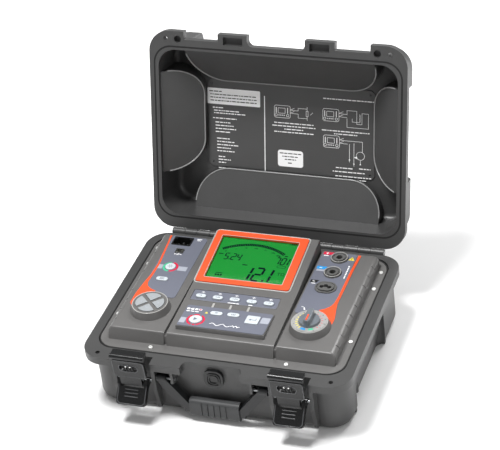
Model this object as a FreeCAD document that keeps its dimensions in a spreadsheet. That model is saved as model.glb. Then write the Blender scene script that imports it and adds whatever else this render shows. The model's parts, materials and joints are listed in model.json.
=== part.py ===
import FreeCAD, Part
import Sketcher
import math
import os

# Insulation resistance tester in a rugged moulded carrying case.
# Frame: +X to the right, +Y to the back, +Z up; the origin is the centre of the case's underside.
# The lid stands open, the two latches hang open and the carrying handle lies against the front wall.

doc = FreeCAD.newDocument("InsulationTester")
sheet = doc.addObject("Spreadsheet::Sheet", "Dim")

SIZES = {
    # case outline
    "rim_x": 197.0,
    "rim_front": 156.0,
    "rim_back": 150.0,
    "rim_corner": 32.0,
    "rim_thick": 12.0,
    "parting_z": 92.0,
    "wall_x": 188.0,
    "wall_front": 140.0,
    "wall_back": 146.0,
    "wall_corner": 32.0,
    "inner_x": 183.0,
    "inner_front": 131.0,
    "inner_back": 141.0,
    "inner_corner": 27.0,
    "floor_thick": 4.5,
    "floor_round": 11.0,
    "relief_depth": 13.0,
    "relief_span": 150.0,
    "relief_y": -16.0,
    # latch notches, handle gap and padlock holes in the front flange
    "latch_x": 115.5,
    "notch_wide": 53.0,
    "notch_back": 137.0,
    "gap_wide": 88.0,
    "gap_back": 140.0,
    "lock_x": 171.0,
    "lock_y": 144.0,
    "lock_radius": 3.2,
    "guard_thick": 5.5,
    "guard_front": 155.0,
    # hinge
    "hinge_y": 156.0,
    "knuckle_radius": 5.6,
    "knuckle_long": 20.0,
    "knuckle_start": 66.0,
    "knuckle_gap": 0.6,
    "pin_radius": 2.2,
    "run_fit": 0.08,
    "open_angle": 106.0,
    # lid
    "lid_gap": 0.4,
    "lid_tall": 74.0,
    "lid_roof": 4.0,
    "lid_inner_front": 128.0,
    "lid_inner_back": 128.0,
    "arch_long_reach": 58.0,
    "arch_short_reach": 50.0,
    "arch_long_span": 290.0,
    "arch_short_span": 156.0,
    "arch_drop": 50.0,
    "arch_back_foot": 41.0,
    "arch_back_drop": 22.0,
    "plate_wide": 262.0,
    "plate_deep": 138.0,
    "plate_thick": 1.5,
    "gasket_x": 190.5,
    "gasket_y": 134.0,
    "gasket_wide": 2.6,
    "gasket_tall": 2.6,
    # latches
    "lever_pin_y": 150.0,
    "lever_pin_z": 58.0,
    "lever_wide": 44.0,
    "lever_long": 36.0,
    "lever_thick": 7.0,
    "lever_open": 40.0,
    "clamp_off_y": 9.0,
    "clamp_off_z": 6.0,
    "clamp_wide": 49.0,
    "clamp_foot": 32.0,
    "clamp_tall": 50.0,
    "clamp_thick": 5.0,
    "clamp_lean": 6.0,
    "latch_pin": 2.0,
    "eye_radius": 3.6,
    # carrying handle
    "grip_pin_x": 75.0,
    "grip_pin_y": 150.0,
    "grip_pin_z": 66.0,
    "grip_half": 41.0,
    "grip_drop": 43.0,
    "grip_radius": 8.0,
    "arm_thick": 11.0,
    "arm_wide": 13.0,
    # front panel
    "panel_x": 180.5,
    "panel_front": 128.0,
    "panel_back": 137.0,
    "panel_corner": 26.0,
    "panel_thick": 3.0,
    "pod_top": 110.0,
    "pod_back_y": 123.0,
    "pod_in": 83.0,
    "pod_out": 168.0,
    "block_x": 79.0,
    "block_front_z": 110.0,
    "block_front_y": 107.0,
    "block_mid_y": 8.0,
    "block_mid_z": 114.5,
    "block_back_y": 126.0,
    "block_back_z": 127.5,
    "skin": 3.0,
    "key_up": 1.6,
    "key_travel": 1.2,
    "key_gap": 0.35,
    "overlay_thick": 0.6,
    "boss_x": 119.0,
    "boss_y": 56.0,
    "boss_base": 30.0,
    "boss_top": 26.0,
    "boss_tall": 10.5,
    # display
    "bezel_wide": 142.0,
    "bezel_deep": 111.0,
    "window_wide": 118.0,
    "window_deep": 90.0,
    "bezel_x": 6.0,
    # sockets and ports
    "socket_x": 113.0,
    "socket_y": 107.0,
    "socket_pitch": 35.8,
    "socket_radius": 13.0,
    "socket_hole": 4.6,
    "inlet_x": 131.0,
    "inlet_y": 107.0,
    "usb_x": 127.0,
    "usb_y": 83.0,
    # selector knob
    "knob_radius": 15.5,
    "knob_tall": 13.0,
    "knob_shaft": 3.0,
}
for row, (alias, value) in enumerate(SIZES.items(), start=1):
    sheet.set(f"A{row}", alias)
    sheet.set(f"B{row}", str(value))
    sheet.setAlias(f"B{row}", alias)
doc.recompute()

SUB_PARTS = []
X_AXIS = FreeCAD.Vector(1, 0, 0)
Y_AXIS = FreeCAD.Vector(0, 1, 0)
Z_AXIS = FreeCAD.Vector(0, 0, 1)


def size(expression):
    """Return the number that an expression on the sheet gives."""
    value = sheet.evalExpression(str(expression))
    return float(getattr(value, "Value", value))


def bind(item, **expressions):
    """Tie properties of an object to expressions on the sheet."""
    for name, expression in expressions.items():
        item.setExpression(name.replace("__", "."), str(expression))
    return item


def place(item, x="0", y="0", z="0", axis=None, angle="0"):
    """Put an object at sheet expressions, turned about one axis."""
    if axis is not None:
        item.Placement = FreeCAD.Placement(item.Placement.Base, FreeCAD.Rotation(axis, size(angle)))
        bind(item, Placement__Rotation__Angle=angle)
    bind(item, Placement__Base__x=x, Placement__Base__y=y, Placement__Base__z=z)
    return item


def box(name, wide, deep, tall, x="0", y="0", z="0", axis=None, angle="0"):
    """Make a block centred on X and Y with its underside at z, turned about its own origin."""
    item = doc.addObject("Part::Box", name)
    bind(item, Length=wide, Width=deep, Height=tall)
    if axis is None:
        return place(item, f"{x} - ({wide}) / 2", f"{y} - ({deep}) / 2", z)
    return place(item, x, y, z, axis, angle)


def rod(name, radius, long, x="0", y="0", z="0", axis=None, angle="0"):
    """Make a cylinder standing on z, or turned about an axis."""
    item = doc.addObject("Part::Cylinder", name)
    bind(item, Radius=radius, Height=long)
    return place(item, x, y, z, axis, angle)


def rod_x(name, radius, long, x, y, z):
    """Make a cylinder lying along X, centred on x."""
    return rod(name, radius, long, f"{x} - ({long}) / 2", y, z, Y_AXIS, "90")


def cone(name, low, high, tall, x="0", y="0", z="0"):
    """Make an upright cone frustum."""
    item = doc.addObject("Part::Cone", name)
    bind(item, Radius1=low, Radius2=high, Height=tall)
    return place(item, x, y, z)


def holder(name, item):
    """Hold one solid so that it can take a further Placement."""
    group = doc.addObject("Part::Compound", name)
    group.Links = [item]
    return group


def fuse(name, *items):
    """Join solids into one."""
    if len(items) == 1:
        return holder(name, items[0])
    item = doc.addObject("Part::MultiFuse", name)
    item.Shapes = list(items)
    return item


def common(name, *items):
    """Keep what solids share."""
    item = doc.addObject("Part::MultiCommon", name)
    item.Shapes = list(items)
    return item


def cut(name, base, *tools):
    """Take tools away from a solid."""
    item = doc.addObject("Part::Cut", name)
    item.Base = base
    item.Tool = tools[0] if len(tools) == 1 else fuse(name + "Tools", *tools)
    return item


def plane_of(body, role):
    """Find one of a body's own origin planes."""
    return next(item for item in body.Origin.OriginFeatures if item.Role == role)


def new_sketch(body, name, role):
    """Make a sketch on one of a body's own origin planes."""
    sketch = body.newObject("Sketcher::SketchObject", name)
    sketch.AttachmentSupport = [(plane_of(body, role), "")]
    sketch.MapMode = "FlatFace"
    return sketch


def number(sketch, constraint, expression):
    """Add a dimension to a sketch and tie it to an expression."""
    index = sketch.addConstraint(constraint)
    sketch.setExpression(f"Constraints[{index}]", str(expression))


def pad(body, sketch, name, length):
    """Pad a sketch along its normal."""
    item = body.newObject("PartDesign::Pad", name)
    item.Profile = sketch
    bind(item, Length=length)
    sketch.Visibility = False
    return item


def outline(sketch, wide, deep, corner):
    """Draw a rounded rectangle about the sketch's origin."""
    a = size(wide) / 2
    b = size(deep) / 2
    r = size(corner)
    vec = FreeCAD.Vector
    sides = [
        Part.LineSegment(vec(-a + r, -b, 0), vec(a - r, -b, 0)),
        Part.LineSegment(vec(a, -b + r, 0), vec(a, b - r, 0)),
        Part.LineSegment(vec(a - r, b, 0), vec(-a + r, b, 0)),
        Part.LineSegment(vec(-a, b - r, 0), vec(-a, -b + r, 0)),
    ]
    centres = [(a - r, -b + r, -90), (a - r, b - r, 0), (-a + r, b - r, 90), (-a + r, -b + r, 180)]
    bends = []
    for x, y, start in centres:
        circle = Part.Circle(vec(x, y, 0), Z_AXIS, r)
        bends.append(Part.ArcOfCircle(circle, math.radians(start), math.radians(start + 90)))
    sketch.addGeometry(sides + bends, False)
    for side in range(4):
        sketch.addConstraint(Sketcher.Constraint("Tangent", side, 2, 4 + side, 1))
        sketch.addConstraint(Sketcher.Constraint("Tangent", 4 + side, 2, (side + 1) % 4, 1))
    for side, kind in enumerate(["Horizontal", "Vertical", "Horizontal", "Vertical"]):
        sketch.addConstraint(Sketcher.Constraint(kind, side))
    for bend in (5, 6, 7):
        sketch.addConstraint(Sketcher.Constraint("Equal", 4, bend))
    sketch.addConstraint(Sketcher.Constraint("Symmetric", 1, 1, 3, 1, -1, 1))
    number(sketch, Sketcher.Constraint("DistanceX", 3, 1, 1, 1, 2 * a), wide)
    number(sketch, Sketcher.Constraint("DistanceY", 0, 1, 2, 1, 2 * b), deep)
    number(sketch, Sketcher.Constraint("Radius", 4, r), corner)


def slab(name, wide, deep, tall, corner, x="0", y="0", z="0", axis=None, angle="0"):
    """Make an upright plate with rounded corners, centred on x and y."""
    body = doc.addObject("PartDesign::Body", name)
    sketch = new_sketch(body, name + "Outline", "XY_Plane")
    outline(sketch, wide, deep, corner)
    pad(body, sketch, name + "Pad", tall)
    return place(body, x, y, z, axis, angle)


def soften(body, radius, wanted):
    """Round the edges of a body's last feature that a test picks out."""
    doc.recompute()
    base = body.Tip
    names = [f"Edge{i}" for i, edge in enumerate(base.Shape.Edges, start=1) if wanted(edge)]
    item = body.newObject("PartDesign::Fillet", body.Name + "Round")
    item.Base = (base, names)
    bind(item, Radius=radius)
    base.Visibility = False
    return item


def prism_x(name, points, low, long):
    """Make a prism along X from a profile of (y, z) expressions."""
    body = doc.addObject("PartDesign::Body", name)
    sketch = new_sketch(body, name + "Profile", "YZ_Plane")
    nodes = [FreeCAD.Vector(size(y), size(z), 0) for y, z in points]
    count = len(nodes)
    sketch.addGeometry([Part.LineSegment(nodes[i], nodes[(i + 1) % count]) for i in range(count)], False)
    for i in range(count):
        sketch.addConstraint(Sketcher.Constraint("Coincident", i, 2, (i + 1) % count, 1))
    for i, (y, z) in enumerate(points):
        for kind, expression in (("DistanceX", y), ("DistanceY", z)):
            value = size(expression)
            number(sketch, Sketcher.Constraint(kind, -1, 1, i, 1, value), expression)
    pad(body, sketch, name + "Pad", long)
    return place(body, low)


def keep(item, label):
    """Register a finished sub-part under its node name."""
    item.Label = label
    SUB_PARTS.append(item)
    return item


def gather(label, shapes):
    """Register several separate solids of one kind as one sub-part."""
    item = doc.addObject("Part::Feature", label)
    item.Shape = Part.makeCompound(shapes)
    item.Placement = FreeCAD.Placement()
    return keep(item, label)


def flat_at(edge, height):
    """Tell whether an edge lies at one height."""
    bounds = edge.BoundBox
    return abs(bounds.ZMin - height) < 0.01 and abs(bounds.ZMax - height) < 0.01



SIDES = (("Left", "-1"), ("Right", "1"))


# ---------------------------------------------------------------- case base
def knuckle_shapes(prefix, slots, bore):
    """Make the knuckles of one hinge leaf on both sides, each on a short web."""
    lift = "0" if prefix == "Base" else "Dim.lid_gap"
    knuckles, webs, bores = [], [], []
    for side, sign in SIDES:
        for slot in slots:
            long = "Dim.knuckle_long" if prefix == "Base" else "(Dim.knuckle_long - 2 * Dim.knuckle_gap)"
            x = f"{sign} * (Dim.knuckle_start + (Dim.knuckle_long) * {slot + 0.5})"
            tag = f"{prefix}{side}{slot}"
            knuckles.append(rod_x(tag + "Knuckle", "Dim.knuckle_radius", long, x, "Dim.hinge_y", "Dim.parting_z"))
            low = "Dim.parting_z - 10" if prefix == "Base" else f"Dim.parting_z + {lift}"
            webs.append(box(tag + "Web", long, "7", f"10 - {lift}", x, "Dim.rim_back + 2.5", low))
        middle = f"{sign} * (Dim.knuckle_start + Dim.knuckle_long * 2.5)"
        bores.append(rod_x(prefix + side + "Bore", bore, "Dim.knuckle_long * 5.4", middle, "Dim.hinge_y", "Dim.parting_z"))
    return knuckles + webs, bores


def flange(prefix, low):
    """Make one half of the parting flange with its latch notches, handle gap and padlock holes."""
    plate = slab(prefix + "Flange", "2 * Dim.rim_x", "Dim.rim_front + Dim.rim_back", "Dim.rim_thick",
                 "Dim.rim_corner", "0", "(Dim.rim_back - Dim.rim_front) / 2", low)
    tools = [slab(prefix + "HandleGap", "Dim.gap_wide", "40", "Dim.rim_thick + 2", "9",
                  "0", "-Dim.gap_back - 20", f"{low} - 1")]
    for side, sign in SIDES:
        tools.append(box(prefix + side + "Notch", "Dim.notch_wide", "30", "Dim.rim_thick + 2",
                         f"{sign} * Dim.latch_x", "-Dim.notch_back - 15", f"{low} - 1"))
        tools.append(rod(prefix + side + "Padlock", "Dim.lock_radius", "Dim.rim_thick + 2",
                         f"{sign} * Dim.lock_x", "-Dim.lock_y", f"{low} - 1"))
    return cut(prefix + "FlangeCut", plate, *tools)


def pillow(name, turn, wall, reach, span, shift, profile):
    """Make an arched wedge against the front wall and turn it to the wall that it belongs to."""
    mask = slab(name + "Mask", span, f"2 * ({reach})", "190", f"0.85 * ({reach})", shift, f"-({wall})", "-5")
    wedge = prism_x(name + "Wedge", profile, f"{shift} - ({span}) / 2", span)
    return place(common(name, mask, wedge), axis=Z_AXIS, angle=turn)


SCREW_SPOTS = [(s * x, y) for s in (-1, 1) for x, y in ((100.0, -119.5), (174.0, -55.0), (174.0, 68.0), (174.0, 108.0))]


def make_base():
    """Make the case base: tub, flange, guards, lugs, bosses and hinge knuckles."""
    tub = slab("Tub", "2 * Dim.wall_x", "Dim.wall_front + Dim.wall_back", "Dim.parting_z", "Dim.wall_corner",
               "0", "(Dim.wall_back - Dim.wall_front) / 2", "0")
    soften(tub, "Dim.floor_round", lambda edge: flat_at(edge, 0))
    solids = [tub, flange("Base", "Dim.parting_z - Dim.rim_thick")]
    tools, backings = [], []
    hollows = [
        slab("TubLow", "2 * Dim.inner_x", "Dim.wall_front + Dim.inner_back - 4.5",
             "Dim.parting_z - Dim.rim_thick - Dim.floor_thick", "Dim.inner_corner", "0",
             "(Dim.inner_back - Dim.wall_front + 4.5) / 2", "Dim.floor_thick"),
        slab("TubMouth", "2 * Dim.inner_x", "Dim.inner_front + Dim.inner_back", "Dim.rim_thick + 2",
             "Dim.inner_corner", "0", "(Dim.inner_back - Dim.inner_front) / 2", "Dim.parting_z - Dim.rim_thick - 1"),
    ]
    for side, sign in SIDES:
        turn, shift = ("90", "Dim.relief_y") if sign == "1" else ("-90", "-Dim.relief_y")
        hollow = [("-Dim.wall_x - 2", "-2"), ("-Dim.wall_x + Dim.relief_depth", "-2"), ("-Dim.wall_x + 0.2", "74"),
                  ("-Dim.wall_x - 2", "74")]
        tools.append(pillow(side + "Relief", turn, "Dim.wall_x", "Dim.relief_depth", "Dim.relief_span", shift, hollow))
        backing = [("-Dim.wall_x + 1", "1"), ("-Dim.wall_x + Dim.relief_depth + 5", "1"), ("-Dim.wall_x + 6", "76"),
                   ("-Dim.wall_x + 1", "76")]
        backings.append(pillow(side + "Backing", turn, "Dim.wall_x", "Dim.relief_depth + 5",
                               "Dim.relief_span + 10", shift, backing))
        for spot, x in (("Out", "Dim.latch_x + Dim.notch_wide / 2 + Dim.guard_thick / 2"),
                        ("In", "Dim.latch_x - Dim.notch_wide / 2 - Dim.guard_thick / 2")):
            profile = [("-Dim.wall_front + 3", "9"), ("-Dim.wall_front - 7", "9"), ("-Dim.guard_front", "46"),
                       ("-Dim.guard_front", "Dim.parting_z - 8"), ("-Dim.wall_front + 3", "Dim.parting_z - 8")]
            solids.append(prism_x(side + spot + "Guard", profile, f"{sign} * ({x}) - Dim.guard_thick / 2",
                                  "Dim.guard_thick"))
        lug = [("-Dim.wall_front + 3", "58"), ("-Dim.wall_front - 8", "58"), ("-Dim.guard_front - 1", "62"),
               ("-Dim.guard_front - 1", "Dim.parting_z - 8"), ("-Dim.wall_front + 3", "Dim.parting_z - 8")]
        solids.append(prism_x(side + "Lug", lug, f"{sign} * (Dim.grip_pin_x - 17) - 2", "4"))
        tools.append(rod_x(side + "HandlePinHole", "Dim.latch_pin", "35", f"{sign} * (Dim.grip_pin_x - 2.5)",
                           "-Dim.grip_pin_y", "Dim.grip_pin_z"))
        tools.append(rod_x(side + "LeverPinHole", "Dim.latch_pin", "Dim.notch_wide + 7",
                           f"{sign} * Dim.latch_x", "-Dim.lever_pin_y", "Dim.lever_pin_z"))
        solids.append(box(side + "StrapLug", "7", "16", "12", f"{sign} * 176", "Dim.wall_back - 4",
                          "Dim.parting_z - 28"))
        tools.append(rod_x(side + "StrapHole", "2.4", "9", f"{sign} * 176", "Dim.wall_back + 0.5 - 1.2",
                           "Dim.parting_z - 22"))
    leaves, bores = knuckle_shapes("Base", (0, 2, 4), "Dim.pin_radius")
    hollowed = cut("TubHollowed", fuse("TubSolid", *solids, *leaves), *hollows)
    shell = cut("TubShell", fuse("TubBacked", hollowed, *backings), *tools, *bores)
    bosses, drills = [], []
    for index, (x, y) in enumerate(SCREW_SPOTS):
        bosses.append(rod(f"Boss{index}", "5", "Dim.parting_z - Dim.panel_thick - Dim.floor_thick + 1", str(x), str(y),
                          "Dim.floor_thick - 1"))
        drills.append(rod(f"BossDrill{index}", "1.7", "14", str(x), str(y), "Dim.parting_z - Dim.panel_thick - 12"))
    whole = fuse("TubBossed", shell, *bosses)
    keep(cut("BaseShell", whole, *drills), "base_shell")


def lid_pose(item):
    """Swing a sub-part modelled on the closed lid up to where the lid stands open."""
    item.Placement = FreeCAD.Placement(FreeCAD.Vector(), FreeCAD.Rotation(X_AXIS, -size("Dim.open_angle")))
    bind(item, Placement__Rotation__Angle="-Dim.open_angle",
         Placement__Base__y="Dim.hinge_y - Dim.hinge_y * cos(Dim.open_angle) - Dim.parting_z * sin(Dim.open_angle)",
         Placement__Base__z="Dim.parting_z + Dim.hinge_y * sin(Dim.open_angle) - Dim.parting_z * cos(Dim.open_angle)")
    return item


def lid_pillows(low):
    """Make the inner fills and the outer dents of the lid's four arched walls."""
    fills, dents = [], []
    walls = (("Front", "0", "Dim.lid_inner_front", "0"), ("Right", "90", "Dim.inner_x", "-12"),
             ("Back", "180", "Dim.lid_inner_back", "0"), ("Left", "-90", "Dim.inner_x", "12"))
    top = f"{low} + Dim.lid_tall + 2"
    for tag, turn, wall, shift in walls:
        kind = "long" if tag in ("Front", "Back") else "short"
        reach, span = f"Dim.arch_{kind}_reach", f"Dim.arch_{kind}_span"
        rise = "8" if tag != "Back" else "Dim.arch_back_foot"
        drop = "Dim.arch_drop" if tag != "Back" else "Dim.arch_back_drop"
        steep = f"({drop} / ({reach}))"
        foot = f"({low} + {rise})"
        inner = [(f"-({wall})", foot), (f"-({wall}) + {reach}", f"{foot} + {drop}"),
                 (f"-({wall}) + {reach}", top), (f"-({wall})", top)]
        fills.append(pillow(f"Fill{tag}", turn, wall, reach, span, shift, inner))
        edge = "-(Dim.wall_x + 3)"
        start = [(edge, f"{low} + 13"), (f"-({wall}) - 2 / {steep}", f"{low} + 13")]
        if tag == "Back":
            start = [(edge, f"{foot} + 7 - {steep} * (Dim.wall_x + 3 - ({wall}))")]
        outer = start + [(f"-({wall}) + {reach} - 5", f"{foot} + 7 + {drop} - 5 * {steep}"),
                         (f"-({wall}) + {reach} - 5", top), (edge, top)]
        deep = f"{reach} + 15" if kind == "long" else f"{reach} + 2"
        dents.append(pillow(f"Dent{tag}", turn, f"({wall}) + ({deep}) - ({reach}) + 5", deep, f"({span}) - 12",
                            shift, outer))
    return fills, dents


def make_lid():
    """Make the lid: shell with arched walls, flange, catches and knuckles, all modelled closed."""
    low = "Dim.parting_z + Dim.lid_gap"
    crown = slab("Crown", "2 * Dim.wall_x", "Dim.wall_front + Dim.wall_back", "Dim.lid_tall", "Dim.wall_corner",
                 "0", "(Dim.wall_back - Dim.wall_front) / 2", low)
    soften(crown, "12", lambda edge: flat_at(edge, size("Dim.lid_tall")))
    solids = [crown, flange("Lid", low)]
    hollow = slab("LidHollow", "2 * Dim.inner_x", "Dim.lid_inner_front + Dim.lid_inner_back",
                  "Dim.lid_tall - Dim.lid_roof + 1", "Dim.inner_corner", "0", "0", f"{low} - 1")
    soften(hollow, "9", lambda edge: flat_at(edge, size("Dim.lid_tall - Dim.lid_roof + 1")))
    tools = []
    for side, sign in SIDES:
        solids.append(prism_x(side + "Catch", [("-Dim.wall_front + 4", low), ("-Dim.wall_front - 4", low),
                                               ("-Dim.wall_front - 6", f"{low} + 5.6"),
                                               ("-Dim.wall_front + 4", f"{low} + 5.6")],
                              f"{sign} * Dim.latch_x - Dim.notch_wide / 2 - 1", "Dim.notch_wide + 2"))
        tools.append(box(side + "BracketPocket", "30", "12", "8", f"{sign} * 66", "-Dim.rim_front + 10",
                         f"{low} - 0.5"))
        tools.append(rod(side + "CornerPocket", "5.5", "8", f"{sign} * 152", "-Dim.rim_front + 12", f"{low} - 0.5"))
    leaves, bores = knuckle_shapes("Lid", (1, 3), "Dim.pin_radius + Dim.run_fit")
    tools.extend(bores)
    groove_out = slab("GrooveOut", "2 * Dim.gasket_x", "2 * Dim.gasket_y", "Dim.gasket_tall + 1", "28",
                      "0", "0", f"{low} - 1")
    groove_in = slab("GrooveIn", "2 * (Dim.gasket_x - Dim.gasket_wide)", "2 * (Dim.gasket_y - Dim.gasket_wide)",
                     "Dim.gasket_tall + 3", "28 - Dim.gasket_wide", "0", "0", f"{low} - 2")
    tools.append(cut("Groove", groove_out, groove_in))
    walls = cut("CrownWalls", fuse("CrownSolid", *solids, *leaves), hollow, *tools)
    fills, dents = lid_pillows(low)
    filled = fuse("CrownFilled", walls, common("ArchFill", fuse("Arches", *fills), hollow))
    keep(lid_pose(cut("CrownArched", filled, *dents)), "lid_shell")

    ring_out = slab("SealOut", "2 * Dim.gasket_x", "2 * Dim.gasket_y", "Dim.gasket_tall", "28", "0", "0",
                    f"{low} - 0.1")
    ring_in = slab("SealIn", "2 * (Dim.gasket_x - Dim.gasket_wide)", "2 * (Dim.gasket_y - Dim.gasket_wide)",
                   "Dim.gasket_tall + 2", "28 - Dim.gasket_wide", "0", "0", f"{low} - 1")
    keep(lid_pose(cut("LidGasket", ring_out, ring_in)), "lid_gasket")

    sheet_low = "Dim.parting_z + Dim.lid_gap + Dim.lid_tall - Dim.lid_roof - Dim.plate_thick"
    card = slab("Card", "Dim.plate_wide", "Dim.plate_deep", "Dim.plate_thick", "9", "0", "0", sheet_low)
    holes = [rod(f"CardHole{i}", "1.6", "6", f"{x} * (Dim.plate_wide / 2 - 7)", f"{y} * (Dim.plate_deep / 2 - 7)",
                 f"{sheet_low} - 2") for i, (x, y) in enumerate(((-1, -1), (1, -1), (-1, 1), (1, 1)))]
    keep(lid_pose(cut("InfoPlate", card, *holes)), "info_plate")


def make_hinge_pins():
    """Make the two steel hinge pins."""
    shapes = []
    for sign in (-1, 1):
        start = sign * size("Dim.knuckle_start")
        long = size("Dim.knuckle_long * 5")
        low = start if sign > 0 else start - long
        shapes.append(Part.makeCylinder(size("Dim.pin_radius"), long,
                                        FreeCAD.Vector(low, size("Dim.hinge_y"), size("Dim.parting_z")), X_AXIS))
    gather("hinge_pins", shapes)


# ---------------------------------------------------------------- latches
def latch_parts(side, sign):
    """Make one draw latch: the lever on its base pin and the clamp on the lever's own pin."""
    wide = "Dim.lever_wide"
    plate = slab(side + "LeverPlate", wide, "Dim.lever_long + 2", "Dim.lever_thick", "5",
                 "0", "-2", "-Dim.lever_thick / 2")
    cheeks = [rod_x(f"{side}Cheek{i}", "4.6", "5", f"{s} * ({wide} / 2 - 2.5)", "0", "0") for i, s in enumerate((-1, 1))]
    turned = place(holder(side + "LeverFlat", plate), "0", "-5.5", "-17", X_AXIS, "90")
    grips = [rod_x(f"{side}Grip{i}", "1.1", "20", "0", "-9", f"-16 - 5 * {i}") for i in range(3)]
    window = box(side + "LeverWindow", "34", "30", "22", "0", "-5", "-12")
    hub_hole = rod_x(side + "LeverBore", "Dim.latch_pin + Dim.run_fit", "60", "0", "0", "0")
    eye_hole = rod_x(side + "LeverEye", "1.8", "60", "0", "-Dim.clamp_off_y", "-Dim.clamp_off_z")
    ears = [box(f"{side}Ear{i}", "5", "13", "9", f"{s} * ({wide} / 2 - 2.5)", "-6.5", "-9.5")
            for i, s in enumerate((-1, 1))]
    pin = rod_x(side + "EyePin", "1.8", wide, "0", "-Dim.clamp_off_y", "-Dim.clamp_off_z")
    blank = cut(side + "LeverBlank", fuse(side + "LeverSolid", turned, *grips), window)
    body = cut(side + "LeverDrilled", fuse(side + "LeverEars", blank, *cheeks, *ears), hub_hole, eye_hole)
    lever = fuse(side + "Lever", body, pin)
    x = f"{sign} * Dim.latch_x"
    place(lever, x, "-Dim.lever_pin_y", "Dim.lever_pin_z", X_AXIS, "-Dim.lever_open")
    keep(lever, f"latch_lever_{side.lower()}")

    eye = rod_x(side + "ClampEyeRod", "Dim.eye_radius", "Dim.clamp_foot", "0", "0", "0")
    foot = box(side + "ClampFoot", "Dim.clamp_foot", "Dim.clamp_thick", "16", "0", "-Dim.clamp_thick / 2 + 0.6", "0")
    face = slab(side + "ClampFace", "Dim.clamp_wide", "32", "Dim.clamp_thick", "5", "0", "0", "-Dim.clamp_thick / 2")
    face_up = place(holder(side + "ClampUp", face), "0", "-Dim.clamp_thick / 2 + 0.6", "30", X_AXIS, "90")
    bar = rod_x(side + "ClampBar", "4.2", "Dim.clamp_wide + 1", "0", "-1", "Dim.clamp_tall")
    hook = box(side + "ClampHook", "Dim.clamp_wide", "10", "4.5", "0", "6", "Dim.clamp_tall - 2")
    slot = slab(side + "ClampSlot", "28", "13", "14", "6", "0", "0", "-7")
    slot_up = place(holder(side + "SlotUp", slot), "0", "-2", "32", X_AXIS, "90")
    ribs = [box(f"{side}ClampRib{i}", "1.6", "Dim.clamp_thick - 1.4", "13", f"{i - 1} * 5", "-Dim.clamp_thick / 2 + 0.9",
                "25.5") for i in range(3)]
    bore = rod_x(side + "ClampBore", "1.8 + Dim.run_fit", "60", "0", "0", "0")
    solid = cut(side + "ClampOpen", fuse(side + "ClampSolid", eye, foot, face_up, bar, hook), slot_up)
    clamp = cut(side + "Clamp", fuse(side + "ClampRibbed", solid, *ribs), bore)
    pin_y = ("(-Dim.lever_pin_y - Dim.clamp_off_y * cos(Dim.lever_open) - Dim.clamp_off_z * sin(Dim.lever_open))")
    pin_z = ("(Dim.lever_pin_z + Dim.clamp_off_y * sin(Dim.lever_open) - Dim.clamp_off_z * cos(Dim.lever_open))")
    place(clamp, x, pin_y, pin_z, X_AXIS, "Dim.clamp_lean")
    keep(clamp, f"latch_clamp_{side.lower()}")


def make_latch_pins():
    """Make the steel pins that carry the latch levers and the carrying handle."""
    shapes = []
    radius = size("Dim.latch_pin")
    for sign in (-1, 1):
        for x, long, y, z in (("Dim.latch_x", "Dim.notch_wide + 7", "-Dim.lever_pin_y", "Dim.lever_pin_z"),
                              ("Dim.grip_pin_x - 2.5", "35", "-Dim.grip_pin_y", "Dim.grip_pin_z")):
            start = sign * size(f"({x})") - size(long) / 2
            shapes.append(Part.makeCylinder(radius, size(long), FreeCAD.Vector(start, size(y), size(z)), X_AXIS))
    gather("front_pins", shapes)


# ---------------------------------------------------------------- carrying handle
def make_handle():
    """Make the carrying handle, folded down, and the soft grip around its bar."""
    low = "(Dim.grip_pin_z - Dim.grip_drop)"
    parts, bores = [], []
    for side, sign in SIDES:
        hub_x = f"{sign} * (Dim.grip_pin_x)"
        parts.append(rod_x(side + "HandleHub", "6.2", "Dim.arm_wide", hub_x, "-Dim.grip_pin_y", "Dim.grip_pin_z"))
        reach = "sqrt((Dim.grip_pin_x - Dim.grip_half) * (Dim.grip_pin_x - Dim.grip_half) + Dim.grip_drop * Dim.grip_drop)"
        arm = slab(side + "Arm", "Dim.arm_wide", f"{reach} + 4", "Dim.arm_thick", "6", "0", f"-({reach}) / 2", "0")
        lean = "atan((Dim.grip_pin_x - Dim.grip_half) / Dim.grip_drop)"
        flat = place(holder(side + "ArmFlat", arm), "0", "0", "0", Z_AXIS, f"{sign} * -1 * {lean}")
        up = place(fuse(side + "ArmUp", flat), hub_x, "-Dim.grip_pin_y + Dim.arm_thick / 2", "Dim.grip_pin_z",
                   X_AXIS, "90")
        parts.append(up)
        bores.append(rod_x(side + "HandleBore", "Dim.latch_pin + Dim.run_fit", "40", hub_x, "-Dim.grip_pin_y",
                           "Dim.grip_pin_z"))
    bar = box("HandleBar", "2 * Dim.grip_half + 8", "Dim.arm_thick", "14", "0", "-Dim.grip_pin_y", f"{low} - 8")
    core = cut("HandleBarCore", bar, box("HandleBarWaist", "2 * Dim.grip_half - 8", "20", "20", "0",
                                          "-Dim.grip_pin_y", f"{low} - 11"))
    spine = box("HandleSpine", "2 * Dim.grip_half", "6", "8", "0", "-Dim.grip_pin_y", f"{low} - 5")
    frame = cut("HandleFrame", fuse("HandleSolid", core, spine, *parts), *bores)
    keep(frame, "handle_frame")

    sleeve = slab("Sleeve", "29", "2 * Dim.grip_radius - 1", "2 * Dim.grip_half - 8.4", "6", "0", "0", "0")
    laid = place(holder("SleeveLaid", sleeve), "-Dim.grip_half + 4.2", f"-Dim.grip_pin_y", f"{low} - 1", Y_AXIS, "90")
    turned = holder("SleeveTurned", laid)
    room = box("SleeveRoom", "2 * Dim.grip_half + 4", "6", "8", "0", "-Dim.grip_pin_y", f"{low} - 5")
    lines = []
    for i in range(5):
        lines.append(box(f"GripLine{i}", "1.6", "2.4", "40", f"{i - 2} * 9", "-Dim.grip_pin_y - 7.5",
                         f"{low} - 21"))
    keep(cut("HandleGrip", turned, room, *lines), "handle_grip")


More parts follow.
